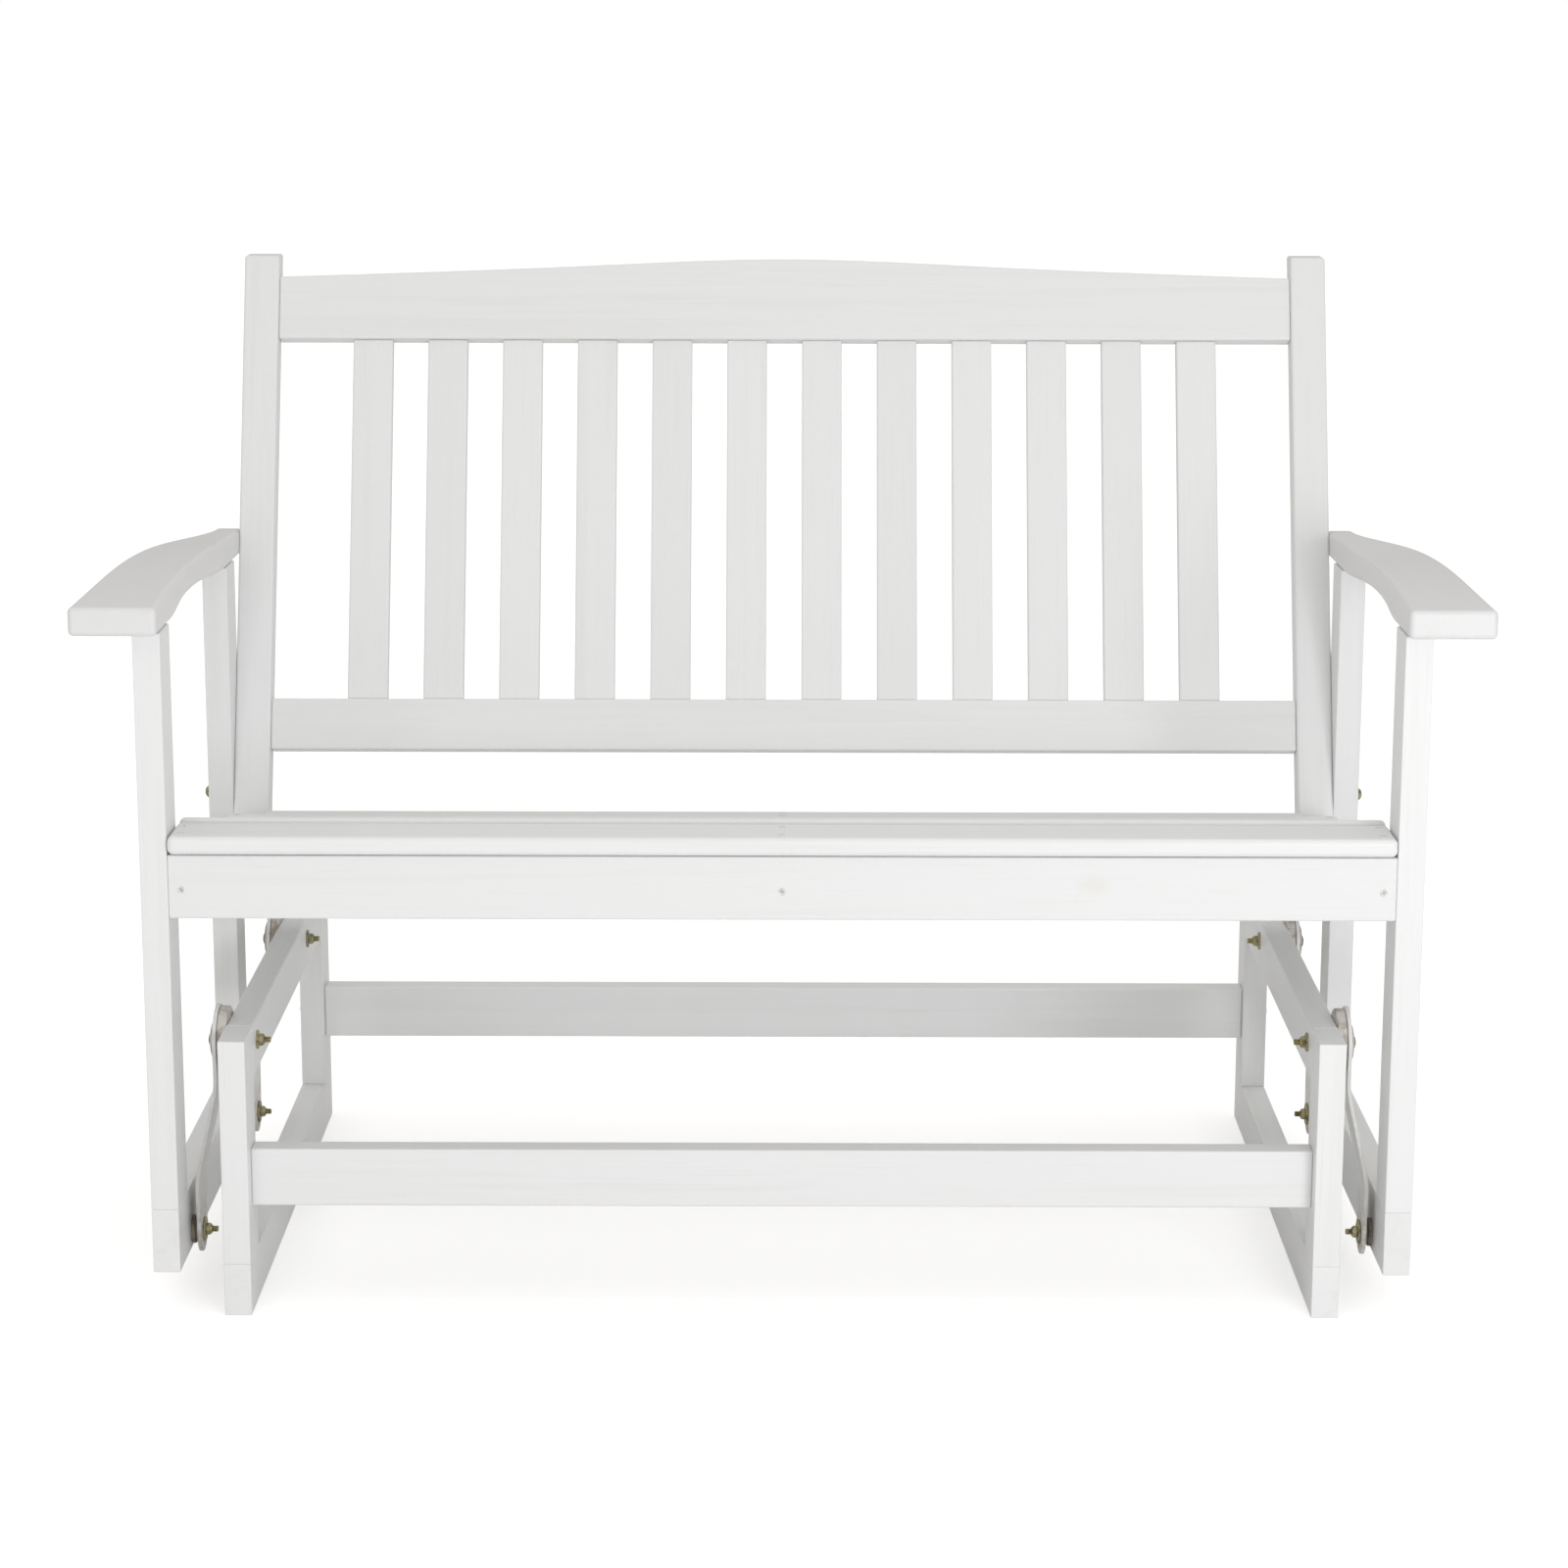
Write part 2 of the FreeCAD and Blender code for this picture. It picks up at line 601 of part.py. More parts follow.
for (name, x, rear_y, rear_z), screw_x in zip(supports, screw_xs):
    corners = [(support_front_y, "sizes.support_front_z"), (rear_y, rear_z),
               (rear_y, "sizes.support_step_z")] + support_top
    support = side_board(f"seat_support_{name}", corners, "sizes.stock", at(x, "0", "0"),
                         "sizes.joint_round")
    drill(support, f"support_{name}_pilot",
          local(f"{screw_x} - ({x})", f"{support_front_y} - sizes.overcut", "sizes.screw_z",
                into_front),
          "sizes.screw_radius", "sizes.pilot_depth + sizes.overcut")
    nodes.append(support)

# Rear seat rail between the outer supports, behind the middle one.
rail_half = "(sizes.side_inner - sizes.stock)"
nodes.append(board("seat_rear_rail",
                   (f"2 * {rail_half}", "sizes.stock",
                    "sizes.support_step_z - sizes.seat_rail_foot"),
                   at(f"-{rail_half}", "sizes.seat_rail_y", "sizes.seat_rail_foot")))

def box_feature(body, kind, name, lengths, place):
    """A block added to a body, such as a tenon, or taken out of it, such as a mortise."""
    block = body.newObject(f"PartDesign::{kind}Box", name)
    for side, length in zip(("Length", "Width", "Height"), lengths):
        block.setExpression(side, length)
    block.setExpression("Placement", place)
    return block


# Six seat slats across the supports, each lying on its own flat. The last is notched at
# both ends, in front of the stiles of the back.
slat_half = "(sizes.side_inner - sizes.slat_end_gap)"
slat_lengths = (f"2 * {slat_half}", "sizes.slat_width", "sizes.slat_thickness")
for number in range(1, 7):
    if number == 1:
        place = at(f"-{slat_half}", "sizes.slat_front_y", "sizes.seat_front_z")
    else:
        tilt = facet_tilt(number)
        y, z = facet_start(number)
        half_gap = "(sizes.slat_pitch - sizes.slat_width) / 2"
        place = at(f"-{slat_half}", f"{y} + {half_gap} * cos({tilt})",
                   f"{z} - {half_gap} * sin({tilt})", f"rotation(vector(1; 0; 0); -{tilt})")
    slat = board(f"seat_slat_{number}", slat_lengths, place, "sizes.slat_round")
    if number == 6:
        for side, x in (("left", "-sizes.overcut"),
                        ("right", f"2 * {slat_half} - sizes.notch_inset")):
            box_feature(slat, "Subtractive", f"seat_slat_{side}_notch",
                        ("sizes.notch_inset + sizes.overcut",
                         "sizes.slat_width - sizes.notch_start + sizes.overcut",
                         "sizes.slat_thickness + 2 * sizes.overcut"),
                        local(x, "sizes.notch_start", "-sizes.overcut"))
    nodes.append(slat)


def stile_point(back, up):
    """A place on the leaning stile, from its foot, for a depth and height of the bench."""
    dy, dz = f"({back} - sizes.back_foot_y)", f"({up} - sizes.back_foot_z)"
    lean = "sizes.back_lean"
    return f"{dy} * cos({lean}) - {dz} * sin({lean})", f"{dy} * sin({lean}) + {dz} * cos({lean})"


# Back stiles: leaning posts whose tops are cut level. Each takes the tenons of both
# back rails and the ends of two bolts.
stile_inner = "(sizes.side_inner - sizes.stile_width)"
rail_middle_y = "(sizes.back_rail_setback + sizes.back_rail_depth / 2)"
low_tenon_z = "(sizes.low_rail_z + (sizes.low_rail_height - sizes.rail_tenon_height) / 2)"
top_tenon_z = "(sizes.top_rail_z + (sizes.top_rail_end_height - sizes.rail_tenon_height) / 2)"
for side, sign in SIDES:
    stile = side_board(
        f"back_stile_{side}",
        [("0", "0"), ("sizes.stile_depth", "0"),
         ("sizes.stile_depth",
          "sizes.stile_length + sizes.stile_depth * tan(sizes.back_lean)"),
         ("0", "sizes.stile_length")],
        "sizes.stile_width", leaning(low_x(sign, stile_inner, "sizes.stile_width"), "0", "0"),
        "sizes.stile_round")
    mortise = "(sizes.rail_tenon + sizes.tenon_play)"
    x = "-sizes.overcut" if sign > 0 else f"sizes.stile_width - {mortise}"
    for name, z in (("low", low_tenon_z), ("top", top_tenon_z)):
        box_feature(stile, "Subtractive", f"stile_{side}_{name}_mortise",
                    (f"{mortise} + sizes.overcut",
                     "sizes.rail_tenon_thickness + 2 * sizes.tenon_play",
                     "sizes.rail_tenon_height + 2 * sizes.tenon_play"),
                    local(x, f"{rail_middle_y} - sizes.rail_tenon_thickness / 2 - sizes.tenon_play",
                          f"{z} - sizes.tenon_play"))
    hole_x = "sizes.stile_width + sizes.overcut" if sign > 0 else "-sizes.overcut"
    for name in ("back", "arm"):
        y, z = stile_point(f"sizes.{name}_bolt_y", f"sizes.{name}_bolt_z")
        drill(stile, f"stile_{side}_{name}_hole", local(hole_x, y, z, outward(-sign)),
              "sizes.bolt_radius",
              "sizes.stile_bolt_depth + sizes.blind_play + sizes.overcut")
    nodes.append(stile)

# Back rails between the stiles, set back a little from the stiles' fronts.
slat_numbers = range(1, 13)
middle_number = (slat_numbers[0] + slat_numbers[-1]) / 2
slat_middles = [f"{number - middle_number} * sizes.back_slat_pitch" for number in slat_numbers]
low_rail = board("back_bottom_rail",
                 (f"2 * {stile_inner}", "sizes.back_rail_depth", "sizes.low_rail_height"),
                 leaning(f"-{stile_inner}", "sizes.back_rail_setback", "sizes.low_rail_z"))
box_feature(low_rail, "Additive", "low_rail_tenons",
            (f"2 * ({stile_inner} + sizes.rail_tenon)", "sizes.rail_tenon_thickness",
             "sizes.rail_tenon_height"),
            local("-sizes.rail_tenon", "(sizes.back_rail_depth - sizes.rail_tenon_thickness) / 2",
                  "(sizes.low_rail_height - sizes.rail_tenon_height) / 2"))
for number, middle in enumerate(slat_middles, start=1):
    box_feature(low_rail, "Subtractive", f"low_rail_mortise_{number:02d}",
                ("sizes.slat_tenon_width + 2 * sizes.tenon_play",
                 "sizes.slat_tenon_thickness + 2 * sizes.tenon_play",
                 "sizes.slat_tenon + sizes.tenon_play + sizes.overcut"),
                local(f"{middle} + {stile_inner} - sizes.slat_tenon_width / 2 - sizes.tenon_play",
                      "(sizes.back_rail_depth - sizes.slat_tenon_thickness) / 2"
                      " - sizes.tenon_play",
                      "sizes.low_rail_height - sizes.slat_tenon - sizes.tenon_play"))
nodes.append(low_rail)

# Twelve upright slats with a tenon at both ends.
slat_rise = "(sizes.top_rail_z - sizes.low_rail_z - sizes.low_rail_height)"
slat_y = f"({rail_middle_y} - sizes.back_slat_thickness / 2)"
for number, middle in enumerate(slat_middles, start=1):
    slat = board(f"back_slat_{number:02d}",
                 ("sizes.back_slat_width", "sizes.back_slat_thickness", slat_rise),
                 leaning(f"{middle} - sizes.back_slat_width / 2", slat_y,
                         "sizes.low_rail_z + sizes.low_rail_height"))
    box_feature(slat, "Additive", f"back_slat_{number:02d}_tenons",
                ("sizes.slat_tenon_width", "sizes.slat_tenon_thickness",
                 f"{slat_rise} + 2 * sizes.slat_tenon"),
                local("(sizes.back_slat_width - sizes.slat_tenon_width) / 2",
                      "(sizes.back_slat_thickness - sizes.slat_tenon_thickness) / 2",
                      "-sizes.slat_tenon"))
    nodes.append(slat)


def size(alias):
    """A driving dimension of the sheet, for the two curved pieces made from outlines."""
    return float(sheet.get(alias))


def smooth(points, start=None, finish=None):
    """Smooth edge through the given points, with given directions at its two ends."""
    places = [FreeCAD.Vector(*point) for point in points]
    curve = Part.BSplineCurve()
    if start is None:
        curve.interpolate(places)
    else:
        curve.interpolate(places, InitialTangent=start, FinalTangent=finish)
    return curve.toShape()


def straight(points):
    """Straight edges from each point to the next."""
    places = [FreeCAD.Vector(*point) for point in points]
    return [Part.LineSegment(first, second).toShape()
            for first, second in zip(places, places[1:])]


def curved_piece(name, shape, place):
    """A sub-part whose outline is curved freely."""
    piece = doc.addObject("Part::Feature", name)
    piece.Shape = shape
    piece.Placement = place
    return piece


def eased_solid(shape, radius, smooth_joins=()):
    """The solid with its edges rounded, but for cross edges at these depths."""
    edges = [edge for edge in shape.Edges
             if not any(abs(edge.BoundBox.YMin - depth) < 0.1 and edge.BoundBox.YLength < 0.1
                        for depth in smooth_joins)]
    return shape.makeFillet(radius, edges)


# Arched top rail, with mortises for the slats and a tenon at each end. The arch passes
# through points given as shares of the rail's half length and of the arch's rise.
half = size("side_inner") - size("stile_width")
rail_foot = size("top_rail_z")
end_z = rail_foot + size("top_rail_end_height")
middle_z = rail_foot + size("top_rail_middle_height")
rise = middle_z - end_z
front_y = size("back_rail_setback")
arch_half = ((1, 0), (0.78, 0.19), (0.39, 0.62))
arch_points = [(-across, up) for across, up in arch_half] + [(0, 1)] + list(reversed(arch_half))
arch = smooth([(across * half, front_y, end_z + up * rise) for across, up in arch_points])
sides = straight([(half, front_y, end_z), (half, front_y, rail_foot),
                  (-half, front_y, rail_foot), (-half, front_y, end_z)])
face = Part.Face(Part.Wire([arch] + sides))
top_rail = face.extrude(FreeCAD.Vector(0, size("back_rail_depth"), 0))
top_rail = eased_solid(top_rail, size("edge_round"))
tenon_y = front_y + (size("back_rail_depth") - size("rail_tenon_thickness")) / 2
tenon_z = rail_foot + (size("top_rail_end_height") - size("rail_tenon_height")) / 2
top_rail = top_rail.fuse(Part.makeBox(
    2 * (half + size("rail_tenon")), size("rail_tenon_thickness"), size("rail_tenon_height"),
    FreeCAD.Vector(-half - size("rail_tenon"), tenon_y, tenon_z)))
play, overcut = size("tenon_play"), size("overcut")
mortise_y = front_y + (size("back_rail_depth") - size("slat_tenon_thickness")) / 2 - play
for number in slat_numbers:
    middle_x = (number - middle_number) * size("back_slat_pitch")
    mortise_x = middle_x - size("slat_tenon_width") / 2 - play
    top_rail = top_rail.cut(Part.makeBox(
        size("slat_tenon_width") + 2 * play, size("slat_tenon_thickness") + 2 * play,
        size("slat_tenon") + play + overcut,
        FreeCAD.Vector(mortise_x, mortise_y, rail_foot - overcut)))
lean = FreeCAD.Rotation(FreeCAD.Vector(1, 0, 0), -size("back_lean"))
foot = FreeCAD.Vector(0, size("back_foot_y") - size("middle_y"), size("back_foot_z"))
nodes.append(curved_piece("back_top_rail", top_rail, FreeCAD.Placement(foot, lean)))

# Arms: boards curved in height and in plan. They lie flat on the front posts, follow
# the slope of the rear posts' tops, and narrow to the bolts through the back stiles.
inner_x = size("side_inner")
front_y, rear_y = size("arm_front_y"), size("arm_rear_y")
landing_z, landing_end = size("arm_landing_z"), size("arm_landing_end")
post_y, post_rear_y = size("rear_post_y"), size("rear_post_y") + size("post_depth")
slope = (size("rear_post_rear_top") - size("rear_post_front_top")) / size("post_depth")
underside_rear_z = size("rear_post_rear_top") + slope * (rear_y - post_rear_y)
top_edge = smooth([(inner_x, front_y, size("arm_front_top")),
                   (inner_x, size("arm_crown_y"), size("arm_crown_top")),
                   (inner_x, size("arm_mid_y"), size("arm_mid_top")),
                   (inner_x, rear_y, size("arm_rear_top"))])
hollow = smooth([(inner_x, landing_end, landing_z),
                 (inner_x, size("arm_rise_y"), size("arm_rise_z")),
                 (inner_x, size("arm_hollow_y"), size("arm_hollow_z")),
                 (inner_x, size("arm_fall_y"), size("arm_fall_z")),
                 (inner_x, post_y, size("rear_post_front_top"))],
                FreeCAD.Vector(0, 1, 0), FreeCAD.Vector(0, 1, slope))
front_edges = straight([(inner_x, front_y, size("arm_front_top")), (inner_x, front_y, landing_z),
                        (inner_x, landing_end, landing_z)])
rear_edges = straight([(inner_x, post_y, size("rear_post_front_top")),
                       (inner_x, rear_y, underside_rear_z),
                       (inner_x, rear_y, size("arm_rear_top"))])
side_wire = Part.Wire(Part.__sortEdges__([top_edge, hollow] + front_edges + rear_edges))
side_solid = Part.Face(side_wire).extrude(FreeCAD.Vector(size("arm_front_width"), 0, 0))
outer_x = inner_x + size("arm_front_width")
tail_x, bolt_y = inner_x + size("arm_rear_width"), size("arm_bolt_y")
plan_edge = smooth([(outer_x, front_y, 0)]
                   + [(inner_x + size(f"arm_{part}_width"), size(f"arm_{part}_y"), 0)
                      for part in ("flank", "waist", "taper")]
                   + [(tail_x, bolt_y, 0), (tail_x, rear_y, 0)])
plan_rest = straight([(tail_x, rear_y, 0), (inner_x, rear_y, 0), (inner_x, front_y, 0),
                      (outer_x, front_y, 0)])
plan_wire = Part.Wire(Part.__sortEdges__([plan_edge] + plan_rest))
plan_solid = Part.Face(plan_wire).extrude(FreeCAD.Vector(0, 0, 2 * size("arm_crown_top")))
arm = eased_solid(side_solid.common(plan_solid), size("arm_round"), (landing_end, post_y))
into_arm = FreeCAD.Vector(1, 0, 0)
bolt_place = FreeCAD.Vector(inner_x - overcut, bolt_y, size("arm_bolt_z"))
hole_radius = size("bolt_radius") + size("hole_play")
arm = arm.cut(Part.makeCylinder(hole_radius, size("arm_front_width"), bolt_place, into_arm))
head_seat = FreeCAD.Vector(tail_x - size("head_seat_depth"), bolt_y, size("arm_bolt_z"))
arm = arm.cut(Part.makeCylinder(size("head_seat_radius"), size("arm_front_width"), head_seat,
                                into_arm))
to_bench = FreeCAD.Placement(FreeCAD.Vector(0, -size("middle_y"), 0), FreeCAD.Rotation())
for side, sign in SIDES:
    shape = arm if sign > 0 else arm.mirror(FreeCAD.Vector(), FreeCAD.Vector(1, 0, 0))
    nodes.append(curved_piece(f"arm_{side}", shape, to_bench))

# Bolts that hold the back: through the rear posts and the arms into the stiles. Their
# heads are higher than those of the other bolts.
back_bolts = []
arm_grip = "(sizes.arm_rear_width - sizes.head_seat_depth)"
for side, sign in SIDES:
    for name, grip in (("back", "sizes.stock"), ("arm", arm_grip)):
        back_bolts.append(bolt(
            f"{name}_bolt_{side}", "sizes.bolt_radius", f"{grip} + sizes.stile_bolt_depth",
            "sizes.bolt_head_radius", "sizes.back_head_height",
            at(f"{sign} * (sizes.side_inner + {grip})", f"sizes.{name}_bolt_y",
               f"sizes.{name}_bolt_z", outward(sign))))
nodes.append(group("back_bolts", back_bolts))

doc.recompute()
for item in doc.Objects:
    if "Invalid" in item.State or "Error" in item.State:
        raise RuntimeError(f"{item.Label} failed: {item.State}")
for node in nodes:
    if node.Shape.isNull() or not node.Shape.isValid():
        raise RuntimeError(f"{node.Label} has no valid shape")

os.makedirs("parts", exist_ok=True)
whole = FreeCAD.BoundBox()
for node in nodes:
    node.Shape.exportStep(f"parts/{node.Label}.step")
    whole.add(node.Shape.optimalBoundingBox())
print(len(nodes), "sub-parts")
print("across", round(whole.XMin, 1), round(whole.XMax, 1))
print("deep", round(whole.YMin, 1), round(whole.YMax, 1))
print("high", round(whole.ZMin, 1), round(whole.ZMax, 1))
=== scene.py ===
import math

import bpy
from mathutils import Matrix, Vector


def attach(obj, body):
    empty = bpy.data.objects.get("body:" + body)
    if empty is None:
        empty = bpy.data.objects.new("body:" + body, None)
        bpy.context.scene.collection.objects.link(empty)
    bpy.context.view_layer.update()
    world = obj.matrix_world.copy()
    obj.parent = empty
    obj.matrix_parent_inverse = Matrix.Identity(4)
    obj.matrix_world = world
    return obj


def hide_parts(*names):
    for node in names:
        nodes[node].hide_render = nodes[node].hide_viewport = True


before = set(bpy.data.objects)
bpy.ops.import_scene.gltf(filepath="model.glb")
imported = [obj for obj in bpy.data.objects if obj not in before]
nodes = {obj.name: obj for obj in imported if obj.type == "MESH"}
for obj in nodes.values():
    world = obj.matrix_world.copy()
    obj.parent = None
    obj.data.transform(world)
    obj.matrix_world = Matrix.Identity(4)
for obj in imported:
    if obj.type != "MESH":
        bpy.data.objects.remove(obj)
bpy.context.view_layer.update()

# Camera: a long lens in front of the bench at chest height, looking a little down.
LENS_LENGTH, SENSOR_WIDTH = 87.63, 36.0
CAMERA_PLACE = (0.0086, -3.6871, 1.2423)
CAMERA_AIM, CAMERA_TILT, CAMERA_ROLL = 0.12, 77.74, 0.11
bpy.context.scene.view_settings.view_transform = "Standard"
camera_data = bpy.data.cameras.new("camera")
camera_data.lens = LENS_LENGTH
camera_data.sensor_width = SENSOR_WIDTH
camera = bpy.data.objects.new("camera", camera_data)
bpy.context.scene.collection.objects.link(camera)
camera.matrix_world = (Matrix.Translation(CAMERA_PLACE)
                       @ Matrix.Rotation(math.radians(CAMERA_AIM), 4, "Z")
                       @ Matrix.Rotation(math.radians(CAMERA_TILT), 4, "X")
                       @ Matrix.Rotation(math.radians(CAMERA_ROLL), 4, "Z"))
bpy.context.scene.camera = camera


# Base: two side frames of planed hardwood boards with eased edges, each a bottom rail
# with two legs and a top rail, joined by two stretchers. All is sprayed with satin
# white paint, thin enough that the grain and a few knots still show through it.
def add_node(tree, kind, **settings):
    """A shader node with its plain settings, and its inputs by name."""
    node = tree.nodes.new(kind)
    for key, value in settings.items():
        if key in node.inputs:
            node.inputs[key].default_value = value
        else:
            setattr(node, key, value)
    return node


def stretched(tree, vector, scale):
    """The place on the piece, drawn out along the board."""
    stretch = add_node(tree, "ShaderNodeVectorMath", operation="MULTIPLY")
    stretch.inputs[1].default_value = scale
    tree.links.new(vector, stretch.inputs[0])
    return stretch.outputs[0]


def noise(tree, vector, **settings):
    """Cloudy noise at the given place."""
    cloud = add_node(tree, "ShaderNodeTexNoise", **settings)
    tree.links.new(vector, cloud.inputs["Vector"])
    return cloud.outputs["Fac"]


def combine(tree, operation, first, second):
    """One arithmetic step between sockets or numbers."""
    step = add_node(tree, "ShaderNodeMath", operation=operation)
    for place, value in enumerate((first, second)):
        if isinstance(value, (int, float)):
            step.inputs[place].default_value = value
        else:
            tree.links.new(value, step.inputs[place])
    return step.outputs[0]


def added(tree, *weighted):
    """The sum of sockets, each times its weight."""
    total = 0.0
    for value, weight in weighted:
        total = combine(tree, "ADD", combine(tree, "MULTIPLY", value, weight), total)
    return total


def ranged(tree, value, low, high, to_low=0.0, to_high=1.0):
    """The value's range from low to high, spread smoothly over another range."""
    node = add_node(tree, "ShaderNodeMapRange", interpolation_type="SMOOTHSTEP")
    for socket_name, number in (("From Min", low), ("From Max", high),
                                ("To Min", to_low), ("To Max", to_high)):
        node.inputs[socket_name].default_value = number
    tree.links.new(value, node.inputs["Value"])
    return node.outputs["Result"]


def tinted(tree, share, first, second):
    """A colour between two colours or colour sockets, by a share."""
    mix = add_node(tree, "ShaderNodeMix", data_type="RGBA")
    tree.links.new(share, mix.inputs["Factor"])
    for socket_name, colour in (("A", first), ("B", second)):
        if isinstance(colour, tuple):
            mix.inputs[socket_name].default_value = (*colour, 1.0)
        else:
            tree.links.new(colour, mix.inputs[socket_name])
    return mix.outputs["Result"]


def effect_group(name, inputs, outputs):
    """An empty effect with its named inputs and outputs, and its two end nodes."""
    group = bpy.data.node_groups.new(name, "ShaderNodeTree")
    for socket_name, kind in inputs:
        group.interface.new_socket(socket_name, in_out="INPUT", socket_type=kind)
    for socket_name, kind in outputs:
        group.interface.new_socket(socket_name, in_out="OUTPUT", socket_type=kind)
    return group, add_node(group, "NodeGroupInput").outputs, add_node(
        group, "NodeGroupOutput").inputs


paint_over_grain, board_in, board_out = effect_group(
    "paint_over_grain",
    (("Along Board", "NodeSocketVector"), ("Paint", "NodeSocketColor"),
     ("Thin Paint", "NodeSocketColor"), ("Knot", "NodeSocketColor"),
     ("Grain", "NodeSocketFloat")),
    (("Colour", "NodeSocketColor"), ("Roughness", "NodeSocketFloat"),
     ("Height", "NodeSocketFloat")))
along = board_in["Along Board"]
fibres = noise(paint_over_grain, stretched(paint_over_grain, along, (9.0, 420.0, 420.0)),
               Scale=1.0, Detail=3.0, Roughness=0.6)
bands = noise(paint_over_grain, stretched(paint_over_grain, along, (1.6, 55.0, 55.0)),
              Scale=1.0, Detail=4.0, Roughness=0.55, Distortion=0.6)
patches = noise(paint_over_grain, stretched(paint_over_grain, along, (2.5, 9.0, 9.0)),
                Scale=1.0, Detail=2.0)
spray = noise(paint_over_grain, along, Scale=900.0, Detail=1.0)
fibre_lines = ranged(paint_over_grain, fibres, 0.52, 0.74)
band_lines = ranged(paint_over_grain, bands, 0.50, 0.72)
knot_cells = add_node(paint_over_grain, "ShaderNodeTexVoronoi", Scale=1.0, Randomness=0.8)
paint_over_grain.links.new(stretched(paint_over_grain, along, (6.0, 11.0, 11.0)),
                           knot_cells.inputs["Vector"])
knot_pick = add_node(paint_over_grain, "ShaderNodeSeparateColor")
paint_over_grain.links.new(knot_cells.outputs["Color"], knot_pick.inputs["Color"])
knots = combine(paint_over_grain, "MULTIPLY",
                ranged(paint_over_grain, knot_cells.outputs["Distance"], 0.05, 0.14, 1.0, 0.0),
                ranged(paint_over_grain, knot_pick.outputs["Red"], 0.80, 0.86))
thin = combine(paint_over_grain, "MULTIPLY",
               added(paint_over_grain, (fibre_lines, 0.35), (band_lines, 0.45), (patches, 0.15)),
               board_in["Grain"])
grain_colour = tinted(paint_over_grain, thin, board_in["Paint"], board_in["Thin Paint"])
knot_share = combine(paint_over_grain, "MULTIPLY", knots,
                     combine(paint_over_grain, "MULTIPLY", board_in["Grain"], 0.8))
paint_over_grain.links.new(
    tinted(paint_over_grain, knot_share, grain_colour, board_in["Knot"]), board_out["Colour"])
paint_over_grain.links.new(
    added(paint_over_grain, (ranged(paint_over_grain, patches, 0.3, 0.7, 0.34, 0.46), 1.0),
          (fibre_lines, 0.06)), board_out["Roughness"])
paint_over_grain.links.new(
    added(paint_over_grain, (fibre_lines, -0.6), (band_lines, -0.8), (knots, -0.6),
          (spray, 0.25)), board_out["Height"])


def painted(name, bump_strength, bump_depth, gloss):
    """A new paint material: its tree, shader, bump node and place on the piece."""
    material = bpy.data.materials.new(name)
    material.use_nodes = True
    tree = material.node_tree
    shader = tree.nodes["Principled BSDF"]
    shader.inputs["Specular IOR Level"].default_value = gloss
    place = add_node(tree, "ShaderNodeTexCoord").outputs["Object"]
    bump = add_node(tree, "ShaderNodeBump", Strength=bump_strength, Distance=bump_depth)
    tree.links.new(bump.outputs["Normal"], shader.inputs["Normal"])
    return material, tree, shader, bump, place


BACK_LEAN = 19.47
BOARD_RUNS = {
    "across": (0.0, 0.0, 0.0),
    "deep": (0.0, 0.0, -90.0),
    "upright": (0.0, 90.0, 0.0),
    "leaning": (BACK_LEAN, 90.0, 0.0),
}
BOARD_BUMP, BOARD_BUMP_DEPTH, BOARD_GLOSS = 0.5, 0.0002, 0.45
GRAIN_SHARE = 0.55
WHITE_PAINTS = ((0.836, 0.842, 0.846), (0.82, 0.826, 0.828), (0.844, 0.85, 0.852))
# Darker white for the arms: painted shade standing in for the dim light on their tops.
ARM_SHADE_WHITE = (0.772, 0.772, 0.778)
THIN_PAINT = (0.745, 0.735, 0.705)
KNOT_PAINT = (0.76, 0.735, 0.67)
white_boards = {}


def white_board(run, colour):
    """Satin white paint of one colour over grain that runs along the board."""
    if (run, colour) in white_boards:
        return white_boards[run, colour]
    material, tree, shader, bump, place = painted(
        f"white_board_{len(white_boards) + 1}", BOARD_BUMP, BOARD_BUMP_DEPTH, BOARD_GLOSS)
    turn = add_node(tree, "ShaderNodeMapping", vector_type="POINT")
    turn.inputs["Rotation"].default_value = [math.radians(angle) for angle in BOARD_RUNS[run]]
    tree.links.new(place, turn.inputs["Vector"])
    paint = add_node(tree, "ShaderNodeGroup", node_tree=paint_over_grain, Grain=GRAIN_SHARE)
    paint.inputs["Paint"].default_value = (*colour, 1.0)
    paint.inputs["Thin Paint"].default_value = (*THIN_PAINT, 1.0)
    paint.inputs["Knot"].default_value = (*KNOT_PAINT, 1.0)
    tree.links.new(turn.outputs["Vector"], paint.inputs["Along Board"])
    tree.links.new(paint.outputs["Colour"], shader.inputs["Base Color"])
    tree.links.new(paint.outputs["Roughness"], shader.inputs["Roughness"])
    tree.links.new(paint.outputs["Height"], bump.inputs["Height"])
    white_boards[run, colour] = material
    return material


def paint_boards(names, run, colours=WHITE_PAINTS):
    """Give CAD boards their paint, the colours taken in turn."""
    for number, name in enumerate(names):
        board = nodes[name]
        board.data.materials.clear()
        board.data.materials.append(white_board(run, colours[number % len(colours)]))


SIDES = ("left", "right")
ENDS = ("front", "rear")
paint_boards([f"base_{side}_{rail}_rail" for side in SIDES for rail in ("bottom", "top")], "deep")
paint_boards([f"base_{side}_{end}_leg" for side in SIDES for end in ENDS], "upright")
paint_boards([f"base_{end}_stretcher" for end in ENDS], "across")


# Stretcher bolts: M6 coach bolts of yellow zinc plated steel, driven through the base's
# legs into the ends of the stretchers, so that only their domed heads show.
MIDDLE_DEPTH = 0.3123
MM = 0.001
BOARD_THICKNESS = 25.0
BASE_OUTSIDE = 519.0


def deselect():
    """Leave nothing selected and no piece active."""
    bpy.ops.object.select_all(action="DESELECT")
    bpy.context.view_layer.objects.active = None


